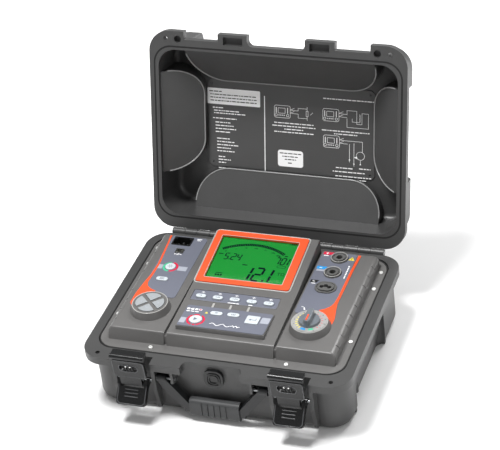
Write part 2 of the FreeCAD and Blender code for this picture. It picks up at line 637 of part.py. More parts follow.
def make_valve():
    """Make the ribbed pressure valve on the front wall."""
    plate = slab("ValvePlate", "28", "29", "5", "10", "0", "0", "0")
    ribs = [slab(f"ValveRib{i}", f"20 - {i} * 6", f"21 - {i} * 6", "6.4", f"7 - {i} * 2", "0", "0", "0") for i in range(3)]
    gaps = [slab(f"ValveGap{i}", f"17 - {i} * 6", f"18 - {i} * 6", "8", f"5.5 - {i} * 2", "0", "0", "3.6")
            for i in range(2)]
    ring = cut("ValveRing", ribs[0], gaps[0])
    ring_in = cut("ValveRingIn", ribs[1], gaps[1])
    body = fuse("ValveBody", plate, ring, ring_in)
    place(body, "0", "-Dim.wall_front", "70", X_AXIS, "90")
    keep(body, "pressure_valve")


# ---------------------------------------------------------------- front panel
TILT_BACK = "atan((Dim.block_back_z - Dim.block_mid_z) / (Dim.block_back_y - Dim.block_mid_y))"
TILT_MID = "atan((Dim.block_mid_z - Dim.block_front_z) / (Dim.block_front_y + Dim.block_mid_y))"
TILT_WEDGE = "-3.1"


def on_plane(item, plane):
    """Move a sub-part drawn on a flat sheet to one of the centre block's sloping faces."""
    spots = {"back": ("Dim.block_mid_y", "Dim.block_mid_z", TILT_BACK),
             "mid": ("-Dim.block_front_y", "Dim.block_front_z", TILT_MID),
             "wedge": ("-94", "117", TILT_WEDGE)}
    y, z, tilt = spots[plane]
    return place(item, "0", y, z, X_AXIS, tilt)


def raise_on(name, plane, *items):
    """Join flat pieces and set them on one of the centre block's sloping faces."""
    return on_plane(fuse(name, *items), plane)


POD_KEYS = {"light": ("round", -127.0, 43.0, 15.2, 15.2), "menu": ("oval", -129.0, 12.5, 18.0, 8.4)}
STRIP_KEYS = {f"f{i + 1}": ("oval", -56.5 + 25.5 * i, 87.0, 15.0, 7.4) for i in range(5)}
LOWER_KEYS = {"start": ("round", -44.5, 17.0, 18.4, 18.4), "escape": ("oval", -20.0, 36.5, 18.0, 8.4),
              "store": ("oval", 5.0, 37.5, 18.0, 8.4), "enter": ("square", 35.5, 31.0, 19.5, 18.5)}
ARROWS = {"right": 0, "up": 90, "left": 180, "down": 270}


def key_outline(name, spec, grow, low, tall):
    """Make a key's plan shape as a block, grown by a gap on every side."""
    kind, x, y, wide, deep = spec
    corner = {"round": wide / 2 - 0.01, "oval": deep / 2 - 0.01, "square": 2.2}[kind]
    return slab(name, f"{wide} + 2 * ({grow})", f"{deep} + 2 * ({grow})", tall, f"{corner} + ({grow})", str(x), str(y), low)


def make_key(name, spec, plane, label):
    """Make one key: its cap, the stem through the panel and the collar that keeps it in."""
    cap = key_outline(name + "Cap", spec, "0", "-5", "5 + Dim.key_up + Dim.overlay_thick")
    soften(cap, "0.7", lambda edge: flat_at(edge, size("5 + Dim.key_up + Dim.overlay_thick")))
    collar = key_outline(name + "Collar", spec, "1.2", "-5", "1.6")
    if plane is None:
        item = place(fuse(name, cap, collar), "0", "0", "Dim.pod_top")
    else:
        item = raise_on(name, plane, cap, collar)
    keep(item, label)


def arrow_shape(name, angle, shrink, low, tall):
    """Make one quarter key of the four-way pad."""
    item = doc.addObject("Part::Cylinder", name)
    bind(item, Radius=f"17.6 + 2.45 * {shrink}", Height=tall, Angle="86")
    turn = FreeCAD.Rotation(Z_AXIS, angle - 43)
    item.Placement = FreeCAD.Placement(FreeCAD.Vector(), turn)
    reach = f"(3.4 - {shrink} * 1.4)"
    return place(item, f"-Dim.boss_x - 2 + {reach} * cos({angle})", f"-Dim.boss_y + {reach} * sin({angle})", low)


def make_panel():
    """Make the moulded front panel: flange, two pods, sloping centre block and all its openings."""
    plate = slab("PanelPlate", "2 * Dim.panel_x", "Dim.panel_front + Dim.panel_back", "Dim.panel_thick",
                 "Dim.panel_corner", "0", "(Dim.panel_back - Dim.panel_front) / 2", "Dim.parting_z - Dim.panel_thick")
    low = "Dim.parting_z - 1"
    pod = [("-112", low), ("-105", "Dim.pod_top"), ("Dim.pod_back_y", "Dim.pod_top"), ("Dim.pod_back_y + 3.4", low)]
    mid = [("-112", low), ("-Dim.block_front_y + 2", "Dim.block_front_z"), ("Dim.block_mid_y", "Dim.block_mid_z"),
           ("Dim.block_back_y", "Dim.block_back_z"), ("Dim.block_back_y + 1.2", low)]
    deck = [("-109", low), ("-106", "104"), ("Dim.pod_back_y", "104"), ("Dim.pod_back_y + 2.8", low)]
    inside_pod = [("-108", "Dim.parting_z - 4"), ("-102", "Dim.pod_top - Dim.skin"),
                  ("Dim.pod_back_y - 3", "Dim.pod_top - Dim.skin"), ("Dim.pod_back_y + 1", "Dim.parting_z - 4")]
    inside_mid = [("-108", "Dim.parting_z - 4"), ("-102", "Dim.block_front_z - Dim.skin"),
                  ("Dim.block_mid_y", "Dim.block_mid_z - Dim.skin"),
                  ("Dim.block_back_y - 3", "Dim.block_back_z - Dim.skin - 0.4"), ("Dim.block_back_y - 2", "Dim.parting_z - 4")]
    solids, hollows = [plate], []
    pod_long = "(Dim.pod_out - Dim.pod_in)"
    for side, sign in SIDES:
        start = "Dim.pod_in" if sign == "1" else "-Dim.pod_out"
        block = prism_x(side + "Pod", pod, start, pod_long)
        outer = size(pod_long) if sign == "1" else 0.0
        soften(block, "8", lambda edge, at=outer: abs(edge.BoundBox.XMin - at) < 0.01
               and abs(edge.BoundBox.XMax - at) < 0.01 and flat_at(edge, size("Dim.pod_top")))
        soften(block, "3", lambda edge: edge.BoundBox.ZMax > size("Dim.pod_top") - 2
               and edge.BoundBox.XLength > 60 and flat_at(edge, size("Dim.pod_top")))
        solids.append(block)
        hollows.append(prism_x(side + "PodRoom", inside_pod, f"{start} + Dim.skin", f"{pod_long} - 2 * Dim.skin"))
        for i in range(9):
            hollows.append(box(f"{side}GripCut{i}", "9", "1.2", "9", f"{sign} * (Dim.pod_out - 1)",
                               f"-86 + 23 * {i}", "Dim.pod_top - 7"))
    centre = prism_x("Centre", mid, "-Dim.block_x", "2 * Dim.block_x")
    soften(centre, "3", lambda edge: edge.BoundBox.XLength > 100 and edge.BoundBox.ZMin > 109
           and abs(edge.BoundBox.ZMin - size("Dim.block_mid_z")) > 1)
    solids.append(centre)
    solids.append(prism_x("Deck", deck, "-Dim.pod_out + 4", "2 * Dim.pod_out - 8"))
    hollows.append(prism_x("CentreRoom", inside_mid, "-Dim.block_x + Dim.skin", "2 * (Dim.block_x - Dim.skin)"))
    solids.append(prism_x("Wedge", [("-95.5", "108"), ("-94.6", "116.8"), ("-43", "114"), ("-41", "109")], "-68.5", "130"))
    body = fuse("PanelSolid", *solids)
    for name, x in (("Pad", "-Dim.boss_x - 2"), ("Dial", "Dim.boss_x - 2")):
        solids.append(cone(name + "Boss", "Dim.boss_base", "Dim.boss_top", "Dim.boss_tall + 1", x, "-Dim.boss_y",
                           "Dim.pod_top - 1"))
    body.Shapes = solids
    room = cut("PanelHollow", body, *hollows)

    tools = [raise_on("StripCut", "mid", slab("StripPocket", "130", "23", "4", "2.5", "-6", "90", "-1"))]
    tools.append(raise_on("WindowCut", "back", slab("WindowHole", "Dim.window_wide + 8", "Dim.window_deep + 8", "30", "2",
                                                      "-Dim.bezel_x - 1", "59", "-20")))
    for name, spec in STRIP_KEYS.items():
        tools.append(raise_on(name + "HoleSet", "mid", key_outline(name + "Hole", spec, "Dim.key_gap", "-9", "14")))
    for name, spec in LOWER_KEYS.items():
        tools.append(raise_on(name + "HoleSet", "wedge", key_outline(name + "Hole", spec, "Dim.key_gap", "-14", "20")))
        tools.append(raise_on(name + "RoomSet", "wedge", key_outline(name + "Room", spec, "2", "-16", "13")))
    for name, spec in POD_KEYS.items():
        tools.append(key_outline(name + "Hole", spec, "Dim.key_gap", "Dim.pod_top - 6", "10"))
    for name, angle in ARROWS.items():
        tools.append(arrow_shape(name + "Hole", angle, "Dim.key_gap", "Dim.pod_top - 6", "Dim.boss_tall + 9"))
    tools.append(rod("PadRoom", "22.5", "Dim.boss_tall - 3 + 6", "-Dim.boss_x - 2", "-Dim.boss_y", "Dim.pod_top - 6"))
    tools.append(rod("ShaftHole", "Dim.knob_shaft + Dim.run_fit", "40", "Dim.boss_x - 2", "-Dim.boss_y",
                     "Dim.pod_top - 8"))
    tools.append(rod("DialRoom", "22", "Dim.boss_tall - 3 + 3", "Dim.boss_x - 2", "-Dim.boss_y", "Dim.pod_top - 3.5"))
    tools.append(slab("InletHole", "30.4", "20.4", "14", "1.5", "-Dim.inlet_x", "Dim.inlet_y", "Dim.pod_top - 8"))
    tools.append(slab("UsbHole", "13.4", "11.4", "14", "1.2", "-Dim.usb_x", "Dim.usb_y", "Dim.pod_top - 8"))
    for i in range(2):
        tools.append(rod(f"SocketHole{i}", "11.2", "14", "Dim.socket_x", f"Dim.socket_y - {i} * Dim.socket_pitch",
                         "Dim.pod_top - 8"))
    tools.append(slab("GuardHole", "26.4", "22.4", "14", "11.1", "Dim.socket_x", "Dim.socket_y - 2 * Dim.socket_pitch",
                      "Dim.pod_top - 8"))
    for i, (x, y) in enumerate(SCREW_SPOTS):
        tools.append(rod(f"PanelScrewHole{i}", "1.9", "8", str(x), str(y), "Dim.parting_z - 5"))
    keep(cut("FrontPanel", room, *tools), "front_panel")


def make_screws():
    """Make the eight panel screws."""
    shapes = []
    top = size("Dim.parting_z")
    for x, y in SCREW_SPOTS:
        shank = Part.makeCylinder(1.65, 13.0, FreeCAD.Vector(x, y, top - 13))
        head = Part.makeCylinder(3.1, 1.5, FreeCAD.Vector(x, y, top))
        head = head.makeFillet(0.6, [edge for edge in head.Edges if abs(edge.BoundBox.ZMin - top - 1.5) < 0.01
                                     and edge.Closed and edge.BoundBox.ZLength < 0.01])
        slots = Part.makeBox(3.6, 0.8, 1.0, FreeCAD.Vector(x - 1.8, y - 0.4, top + 0.8))
        cross = Part.makeBox(0.8, 3.6, 1.0, FreeCAD.Vector(x - 0.4, y - 1.8, top + 0.8))
        shapes.append(shank.fuse(head).cut(slots).cut(cross))
    gather("panel_screws", shapes)


def make_display():
    """Make the display's frame, its window and the module behind it."""
    y = "59"
    frame = slab("BezelPlate", "Dim.bezel_wide", "Dim.bezel_deep", "1.8", "4", "-Dim.bezel_x", y, "0.02")
    lip = slab("BezelLip", "Dim.window_wide + 7.6", "Dim.window_deep + 7.6", "5", "2", "-Dim.bezel_x - 1", y, "-3.6")
    hole = slab("BezelHole", "Dim.window_wide", "Dim.window_deep", "12", "1.5", "-Dim.bezel_x - 1", y, "-5")
    step = slab("BezelStep", "Dim.window_wide + 4", "Dim.window_deep + 4", "3", "1.5", "-Dim.bezel_x - 1", y, "-4")
    keep(on_plane(cut("LcdBezel", fuse("BezelSolid", frame, lip), hole, step), "back"), "lcd_bezel")
    keep(raise_on("LcdWindow", "back", slab("Pane", "Dim.window_wide + 3.8", "Dim.window_deep + 3.8", "1.4", "1.4",
                                            "-Dim.bezel_x - 1", y, "-2.5")), "lcd_window")
    glass = slab("Module", "Dim.window_wide + 3.6", "Dim.window_deep + 3.6", "3.6", "1", "-Dim.bezel_x - 1", y, "-6.2")
    back = slab("ModuleBack", "Dim.window_wide + 12", "Dim.window_deep + 8", "1.6", "1", "-Dim.bezel_x - 1", y, "-7.8")
    keep(raise_on("LcdModule", "back", glass, back), "lcd_module")


def make_overlays():
    """Make the printed overlays of the two pods, the key strip and the lower key block."""
    for side, sign, wide, x in (("left", "-1", "56", "-123"), ("right", "1", "52", "111")):
        sheet_plate = slab(side + "Overlay", wide, "147.5", "Dim.overlay_thick", "5", x, "45.75", "Dim.pod_top")
        tools = [rod(side + "OverlayBoss", "Dim.boss_base + 0.4", "8", f"{sign} * Dim.boss_x - 2", "-Dim.boss_y",
                     "Dim.pod_top - 3")]
        if side == "left":
            tools.append(slab("LeftOverlayInlet", "30.4", "20.4", "8", "1.5", "-Dim.inlet_x", "Dim.inlet_y", "Dim.pod_top - 3"))
            tools.append(slab("LeftOverlayUsb", "13.4", "11.4", "8", "1.2", "-Dim.usb_x", "Dim.usb_y", "Dim.pod_top - 3"))
            for name, spec in POD_KEYS.items():
                tools.append(key_outline(name + "OverlayHole", spec, "Dim.key_gap", "Dim.pod_top - 3", "8"))
        else:
            for i in range(2):
                tools.append(rod(f"OverlaySocket{i}", "Dim.socket_radius + 0.2", "8", "Dim.socket_x",
                                 f"Dim.socket_y - {i} * Dim.socket_pitch", "Dim.pod_top - 3"))
            tools.append(slab("OverlayGuard", "32.4", "26.4", "8", "13.1", "Dim.socket_x",
                              "Dim.socket_y - 2 * Dim.socket_pitch", "Dim.pod_top - 3"))
        keep(cut(side + "OverlayCut", sheet_plate, *tools), f"overlay_{side}")
    strip = slab("StripSheet", "129.4", "22.4", "Dim.overlay_thick", "2.2", "-6", "90", "-0.99")
    holes = [key_outline(name + "StripHole", spec, "Dim.key_gap", "-4", "8") for name, spec in STRIP_KEYS.items()]
    keep(on_plane(cut("StripOverlay", strip, *holes), "mid"), "overlay_strip")
    lower = slab("LowerSheet", "128", "50", "Dim.overlay_thick", "3.5", "-3.5", "25.6", "0.02")
    holes = [key_outline(name + "LowerHole", spec, "Dim.key_gap", "-4", "8") for name, spec in LOWER_KEYS.items()]
    keep(on_plane(cut("LowerOverlay", lower, *holes), "wedge"), "overlay_lower")


def make_keys():
    """Make every key of the panel."""
    for name, spec in POD_KEYS.items():
        make_key(name.capitalize() + "Key", spec, None, f"key_{name}")
    for name, spec in STRIP_KEYS.items():
        make_key(name.capitalize() + "Key", spec, "mid", f"key_{name}")
    for name, spec in LOWER_KEYS.items():
        make_key(name.capitalize() + "Key", spec, "wedge", f"key_{name}")
    for name, angle in ARROWS.items():
        top = "Dim.boss_tall + 5 + Dim.key_up - 0.6"
        cap = arrow_shape(name + "ArrowCap", angle, "0", "Dim.pod_top - 5", top)
        foot = arrow_shape(name + "ArrowFoot", angle, "0.6", "Dim.pod_top - 5", "3")
        keep(fuse(name.capitalize() + "Arrow", cap, foot), f"key_{name}")


def make_sockets():
    """Make the three test sockets, their contacts, the mains inlet and the data port."""
    for i, label in enumerate(("test_socket_plus", "test_socket_minus")):
        y = f"Dim.socket_y - {i} * Dim.socket_pitch"
        rim = cone(label + "Rim", "Dim.socket_radius", "Dim.socket_radius - 1", "2", "Dim.socket_x", y, "Dim.pod_top")
        ring = rod(label + "Ring", "8.4", "3.2", "Dim.socket_x", y, "Dim.pod_top")
        dish = cut(label + "Dish", rim, rod(label + "DishCut", "10.4", "3", "Dim.socket_x", y, "Dim.pod_top + 1"))
        barrel = rod(label + "Barrel", "11", "27", "Dim.socket_x", y, "Dim.pod_top - 27")
        hole = rod(label + "Hole", "Dim.socket_hole", "24", "Dim.socket_x", y, "Dim.pod_top - 20")
        deep = rod(label + "Deep", "3.1", "12", "Dim.socket_x", y, "Dim.pod_top - 28")
        keep(cut(label + "Body", fuse(label + "Solid", dish, ring, barrel), hole, deep), label)
    y = "Dim.socket_y - 2 * Dim.socket_pitch"
    rim = slab("GuardRim", "32", "26", "2", "12.9", "Dim.socket_x", y, "Dim.pod_top")
    dish = cut("GuardDish", rim, slab("GuardDishCut", "28", "22", "3", "10.9", "Dim.socket_x", y, "Dim.pod_top + 1"))
    core = slab("GuardCore", "24", "18", "3.2", "8.9", "Dim.socket_x", y, "Dim.pod_top")
    barrel = slab("GuardBarrel", "26", "22", "27", "10.9", "Dim.socket_x", y, "Dim.pod_top - 27")
    holes = [rod(f"GuardHole{i}", "3.3", "24", f"Dim.socket_x + {i - 1} * 5.6", f"{y} + {(i % 2) * 2.4 - 0.8}", "Dim.pod_top - 20")
             for i in range(3)]
    keep(cut("GuardBody", fuse("GuardSolid", dish, core, barrel), *holes), "test_socket_guard")

    shapes = []
    for i in range(2):
        spot = FreeCAD.Vector(size("Dim.socket_x"), size(f"Dim.socket_y - {i} * Dim.socket_pitch"), size("Dim.pod_top") - 31)
        shapes.append(Part.makeCylinder(3.0, 15, spot).cut(Part.makeCylinder(2.0, 12, spot + FreeCAD.Vector(0, 0, 4))))
    gather("socket_contacts", shapes)

    shell = slab("InletShell", "30", "20", "26", "1.3", "-Dim.inlet_x", "Dim.inlet_y", "Dim.pod_top - 24.6")
    mouth = slab("InletMouth", "26", "16.6", "17", "1", "-Dim.inlet_x", "Dim.inlet_y", "Dim.pod_top - 14.6")
    corners = [box(f"InletCorner{i}", "8", "8", "26", f"-Dim.inlet_x + {s} * 13.6", "Dim.inlet_y + 8.9",
                   "Dim.pod_top - 24.6", None) for i, s in enumerate((-1, 1))]
    keep(cut("InletBody", shell, cut("InletMouthCut", mouth, *corners)), "mains_inlet")
    blades = []
    for x, y in ((-7.0, -1.6), (7.0, -1.6), (0.0, 2.6)):
        blades.append(Part.makeBox(2.0, 4.0, 10.0, FreeCAD.Vector(-size("Dim.inlet_x") + x - 1, size("Dim.inlet_y") + y - 2,
                                                                  size("Dim.pod_top") - 14.6)))
    gather("inlet_blades", blades)
    outer = slab("UsbShell", "13", "11", "16", "1", "-Dim.usb_x", "Dim.usb_y", "Dim.pod_top - 14.6")
    inner = slab("UsbMouth", "9.4", "8.4", "12", "1", "-Dim.usb_x", "Dim.usb_y", "Dim.pod_top - 8.6")
    keep(cut("UsbBody", outer, inner), "data_port")


def make_knob():
    """Make the selector knob, its pointer and the printed dial plate below it."""
    x, y = "Dim.boss_x - 2", "-Dim.boss_y"
    top = "(Dim.pod_top + Dim.boss_tall)"
    dial = cut("DialPlate", rod("DialDisc", "24.6", "0.8", x, y, top), rod("DialBore", "Dim.knob_shaft + 0.6", "3", x, y, f"{top} - 1"))
    keep(dial, "dial_plate")
    skirt = cone("KnobSkirt", "Dim.knob_radius", "Dim.knob_radius - 0.9", "3.6", x, y, f"{top} + 1.1")
    bar = slab("KnobBar", "9.5", "2 * Dim.knob_radius - 1", "Dim.knob_tall - 1", "4", x, y, f"{top} + 1.1")
    soften(bar, "1.4", lambda edge: flat_at(edge, size("Dim.knob_tall - 1")))
    shaft = rod("KnobShaft", "Dim.knob_shaft", "20", x, y, f"{top} - 17")
    slot = box("PointerSlot", "2.6", "14.5", "2", x, f"{y} - 7", f"{top} + 1.1 + Dim.knob_tall - 1 - 0.8")
    keep(cut("KnobBody", fuse("KnobSolid", skirt, bar, shaft), slot), "selector_knob")
    mark = box("PointerMark", "2.4", "12.5", "0.9", x, f"{y} - 6.4", f"{top} + 1.1 + Dim.knob_tall - 1 - 0.8")
    keep(fuse("KnobPointer", mark), "knob_pointer")


# ---------------------------------------------------------------- inside the case
def make_inside():
    """Make the boards, the battery and the modules below the panel."""
    board = slab("MainBoard", "300", "200", "1.6", "3", "0", "6", "80")
    holes = [rod(f"BoardHole{i}", "1.6", "6", str(x), str(y), "78") for i, (x, y) in enumerate(((-145, -85), (145, -85), (-145, 97), (145, 97)))]
    keep(cut("MainBoardCut", board, rod("SwitchClear", "9", "6", "Dim.boss_x - 2", "-Dim.boss_y", "78"),
             slab("SocketClear", "40", "106", "6", "4", "Dim.socket_x", "Dim.socket_y - Dim.socket_pitch", "78"),
             slab("InletClear", "40", "40", "6", "4", "-Dim.inlet_x", "Dim.inlet_y", "78"), *holes), "main_board")
    posts = []
    for x, y in ((-145, -85), (145, -85), (-145, 97), (145, 97)):
        posts.append(Part.makeCylinder(4.0, 80 - size("Dim.floor_thick"), FreeCAD.Vector(x, y, size("Dim.floor_thick"))))
    gather("board_posts", posts)
    switch = slab("SwitchBody", "34", "34", "12", "3", "Dim.boss_x - 2", "-Dim.boss_y", "83")
    neck = rod("SwitchNeck", "6", "10", "Dim.boss_x - 2", "-Dim.boss_y", "83")
    keep(cut("SwitchCut", fuse("SwitchSolid", switch, neck), rod("SwitchBore", "Dim.knob_shaft + Dim.run_fit", "40",
         "Dim.boss_x - 2", "-Dim.boss_y", "82")), "rotary_switch")
    cells = [rod_x(f"Cell{i}", "17", "122", "-74", f"-90 + 35 * {i}", "22") for i in range(3)]
    keep(fuse("BatteryPack", box("CellTray", "126", "106", "10", "-74", "-55", "Dim.floor_thick"), *cells), "battery_pack")
    keep(fuse("Bracket", box("BracketTop", "14", "112", "2", "-74", "-55", "39.4"),
              box("BracketFront", "14", "2", "34.8", "-74", "-110", "Dim.floor_thick + 0.1"),
              box("BracketBack", "14", "2", "34.8", "-74", "0", "Dim.floor_thick + 0.1")), "battery_bracket")
    potted = slab("HighVolts", "90", "120", "48", "4", "85", "-40", "Dim.floor_thick")
    soften(potted, "2", lambda edge: flat_at(edge, 48))
    keep(place(fuse("HighVoltsSet", potted)), "high_voltage_module")
    supply = slab("SupplyBoard", "150", "80", "1.6", "2", "-60", "75", "12")
    parts = [box("SupplyCore", "34", "30", "28", "-100", "75", "13"), rod("SupplyCan0", "9", "30", "-60", "60", "13"),
             rod("SupplyCan1", "9", "30", "-38", "60", "13"), box("SupplySink", "60", "6", "26", "-50", "98", "13")]
    keep(fuse("SupplySolid", supply, *parts, *[rod(f"SupplyFoot{i}", "3", "8", str(x), str(y), "Dim.floor_thick")
         for i, (x, y) in enumerate(((-125, 45), (5, 45), (-125, 105), (5, 105)))]), "power_supply")
    keep(fuse("Buzzer", rod("BuzzerCan", "9", "6", "40", "-60", "81.6")), "buzzer")


make_base()
make_lid()
make_hinge_pins()
for latch_side, latch_sign in SIDES:
    latch_parts(latch_side, latch_sign)
make_latch_pins()
make_handle()
make_valve()
make_panel()
make_screws()
make_display()
make_overlays()
make_keys()
make_sockets()
make_knob()
make_inside()


def write_files():
    """Check every object and write each sub-part to its own file."""
    doc.recompute()
    for item in doc.Objects:
        if {"Invalid", "Error"} & set(item.State):
            raise SystemExit(f"{item.Name} failed: {item.State}")
    os.makedirs("parts", exist_ok=True)
    for item in SUB_PARTS:
        shape = item.Shape
        if shape.isNull() or not shape.isValid():
            raise SystemExit(f"{item.Label} is not a valid shape")
        shape.exportStep(f"parts/{item.Label}.step")
        print(item.Label, len(shape.Solids), "solids", round(shape.Volume), "mm3")


write_files()
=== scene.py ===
"""Looks of the insulation resistance tester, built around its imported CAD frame.

Every piece lies in the frame of the CAD parts, which is in metres. The sizes in this script are in
millimetres and its angles in degrees; only the studio's sizes are in metres, apart from its lens.
"""

import json
import logging
import math
from dataclasses import dataclass, field
from enum import Enum
from typing import Any

import bmesh
import bpy
from mathutils import Matrix, Vector


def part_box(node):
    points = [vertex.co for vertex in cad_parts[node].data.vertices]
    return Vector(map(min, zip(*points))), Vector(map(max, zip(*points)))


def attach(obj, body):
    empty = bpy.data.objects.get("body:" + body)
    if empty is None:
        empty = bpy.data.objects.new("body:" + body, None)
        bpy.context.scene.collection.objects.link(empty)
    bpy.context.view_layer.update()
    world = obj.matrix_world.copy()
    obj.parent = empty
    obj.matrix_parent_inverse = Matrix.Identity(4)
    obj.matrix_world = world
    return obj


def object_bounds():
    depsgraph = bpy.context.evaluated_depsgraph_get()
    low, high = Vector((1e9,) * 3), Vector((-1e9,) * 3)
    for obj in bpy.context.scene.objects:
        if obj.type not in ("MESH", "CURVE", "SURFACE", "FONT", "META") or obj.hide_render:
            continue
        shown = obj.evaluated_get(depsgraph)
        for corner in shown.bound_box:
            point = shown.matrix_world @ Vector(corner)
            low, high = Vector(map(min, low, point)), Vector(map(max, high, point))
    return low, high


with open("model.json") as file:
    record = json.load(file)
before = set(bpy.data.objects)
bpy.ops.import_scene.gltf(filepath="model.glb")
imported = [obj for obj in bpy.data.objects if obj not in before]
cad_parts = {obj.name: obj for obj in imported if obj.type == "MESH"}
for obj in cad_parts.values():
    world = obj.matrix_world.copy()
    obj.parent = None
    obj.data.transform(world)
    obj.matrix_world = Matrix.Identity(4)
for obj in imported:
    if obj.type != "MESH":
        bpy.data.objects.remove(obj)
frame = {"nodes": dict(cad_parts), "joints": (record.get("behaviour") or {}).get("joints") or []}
CAD_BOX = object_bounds()
LOG = logging.getLogger("tester")
MM = 0.001

Point = tuple[float, float]
Outline = list[Point]


# ---------------------------------------------------------------- colours and nodes
def linear(colour: str) -> tuple[float, float, float, float]:
    """Turn an sRGB hex colour into linear light.

    Args:
        colour: A colour such as "#8a8a88".

    Returns:
        Red, green, blue and an alpha of one.
    """
    channels = [int(colour[i : i + 2], 16) / 255 for i in (1, 3, 5)]
    return tuple(c / 12.92 if c <= 0.04045 else ((c + 0.055) / 1.055) ** 2.4 for c in channels) + (1.0,)


def add_node(tree: bpy.types.NodeTree, kind: str, settings: dict[str, Any] | None = None,
             inputs: dict[Any, Any] | None = None) -> bpy.types.Node:
    """Add a node with its settings and inputs.

    Args:
        tree: The tree that gets the node.
        kind: The node's type name.
        settings: Attributes of the node.
        inputs: Values by input name or number; an output socket given as a value is linked.

    Returns:
        The new node.
    """
    node = tree.nodes.new(kind)
    for name, value in (settings or {}).items():
        setattr(node, name, value)
    for name, value in (inputs or {}).items():
        socket = node.inputs[name]
        if isinstance(value, bpy.types.NodeSocket):
            tree.links.new(value, socket)
        else:
            socket.default_value = value
    return node


def blank_material(name: str) -> tuple[bpy.types.Material, bpy.types.NodeTree, bpy.types.Node]:
    """Make a node material with nothing in it but its output.

    Args:
        name: The material's name.

    Returns:
        The material, its tree and its output node.
    """
    material = bpy.data.materials.new(name)
    material.use_nodes = True
    tree = material.node_tree
    tree.nodes.clear()
    return material, tree, add_node(tree, "ShaderNodeOutputMaterial")


# ---------------------------------------------------------------- finishes
@dataclass(frozen=True)
class Moulding:
    """A moulded, printed or painted surface with a drifting tone and a fine grain.

    The grain of a real mould is about 0.2 mm wide; grain_mm is coarser, so that it shows.
    """

    name: str
    colour: str
    shade: str
    roughness: float = 0.5
    grain_mm: float = 0.8
    grain_depth_mm: float = 0.03
    drift_mm: float = 35.0
    ior: float = 1.5
    glow: float = 0.0

    def build(self) -> bpy.types.Material:
        """Make the material.

        Returns:
            The material.
        """
        material, tree, output = blank_material(self.name)
        place = add_node(tree, "ShaderNodeTexCoord").outputs["Object"]
        drift = add_node(tree, "ShaderNodeTexNoise", None,
                         {"Vector": place, "Scale": 1 / (self.drift_mm * MM), "Detail": 4.0,
                          "Roughness": 0.6})
        grain = add_node(tree, "ShaderNodeTexNoise", None,
                         {"Vector": place, "Scale": 1 / (self.grain_mm * MM), "Detail": 2.0,
                          "Roughness": 0.55})
        tone = add_node(tree, "ShaderNodeMix", {"data_type": "RGBA"},
                        {0: drift.outputs["Fac"], 6: linear(self.colour), 7: linear(self.shade)})
        gloss = add_node(tree, "ShaderNodeMapRange", None,
                         {"Value": grain.outputs["Fac"], "To Min": self.roughness - 0.06,
                          "To Max": self.roughness + 0.08})
        bump = add_node(tree, "ShaderNodeBump", None,
                        {"Height": grain.outputs["Fac"], "Strength": 0.5,
                         "Distance": self.grain_depth_mm * MM * 2})
        shader = add_node(tree, "ShaderNodeBsdfPrincipled", None,
                          {"Base Color": tone.outputs[2], "Roughness": gloss.outputs["Result"],
                           "Normal": bump.outputs["Normal"], "IOR": self.ior})
        if self.glow:
            shader.inputs["Emission Strength"].default_value = self.glow
            shader.inputs["Emission Color"].default_value = linear(self.colour)
        tree.links.new(shader.outputs["BSDF"], output.inputs["Surface"])
        return material


@dataclass(frozen=True)
class Metal:
    """A plated or bare metal with drawn lines along X, which across makes long."""

    name: str
    colour: str
    roughness: float = 0.3
    line_mm: float = 0.35
    across: float = 0.06

    def build(self) -> bpy.types.Material:
        """Make the material.

        Returns:
            The material.
        """
        material, tree, output = blank_material(self.name)
        place = add_node(tree, "ShaderNodeTexCoord").outputs["Object"]
        stretch = add_node(tree, "ShaderNodeMapping", None,
                           {"Vector": place, "Scale": (self.across, 1.0, 1.0)})
        lines = add_node(tree, "ShaderNodeTexNoise", None,
                         {"Vector": stretch.outputs["Vector"], "Scale": 1 / (self.line_mm * MM),
                          "Detail": 3.0})
        gloss = add_node(tree, "ShaderNodeMapRange", None,
                         {"Value": lines.outputs["Fac"], "To Min": self.roughness - 0.1,
                          "To Max": self.roughness + 0.12})
        bump = add_node(tree, "ShaderNodeBump", None,
                        {"Height": lines.outputs["Fac"], "Strength": 0.25, "Distance": 0.02 * MM})
        shader = add_node(tree, "ShaderNodeBsdfPrincipled", None,
                          {"Base Color": linear(self.colour), "Metallic": 1.0,
                           "Roughness": gloss.outputs["Result"], "Normal": bump.outputs["Normal"]})
        tree.links.new(shader.outputs["BSDF"], output.inputs["Surface"])
        return material


@dataclass(frozen=True)
class ClearPane:
    """A clear acrylic pane: faint reflections over what lies behind it."""

    name: str
    colour: str
    shine: float = 0.025
    haze_mm: float = 50 / 3

    def build(self) -> bpy.types.Material:
        """Make the material.

        Returns:
            The material.
        """
        material, tree, output = blank_material(self.name)
        place = add_node(tree, "ShaderNodeTexCoord").outputs["Object"]
        haze = add_node(tree, "ShaderNodeTexNoise", None,
                        {"Vector": place, "Scale": 1 / (self.haze_mm * MM), "Detail": 2.0})
        gloss = add_node(tree, "ShaderNodeMapRange", None,
                         {"Value": haze.outputs["Fac"], "To Min": 0.03, "To Max": 0.06})
        clear = add_node(tree, "ShaderNodeBsdfTransparent", None, {"Color": linear(self.colour)})
        shine = add_node(tree, "ShaderNodeBsdfGlossy", None, {"Roughness": gloss.outputs["Result"]})
        shader = add_node(tree, "ShaderNodeMixShader", None,
                          {0: self.shine, 1: clear.outputs["BSDF"], 2: shine.outputs["BSDF"]})
        tree.links.new(shader.outputs["Shader"], output.inputs["Surface"])
        return material


# Injection-moulded polypropylene: an even, slightly soft grey with a fine pebbled grain that dulls the light.
CASE = Moulding("polypropylene_case", "#444444", "#3b3b3b", 0.38, 0.9, 0.05)
# A light grey on the lid's rolled edges: a painted highlight along the arches, far lighter than the case.
LID_PAINTED_HIGHLIGHT = Moulding("polypropylene_painted_highlight", "#8f8f8f", "#858585", 0.24, 0.8, 0.004)
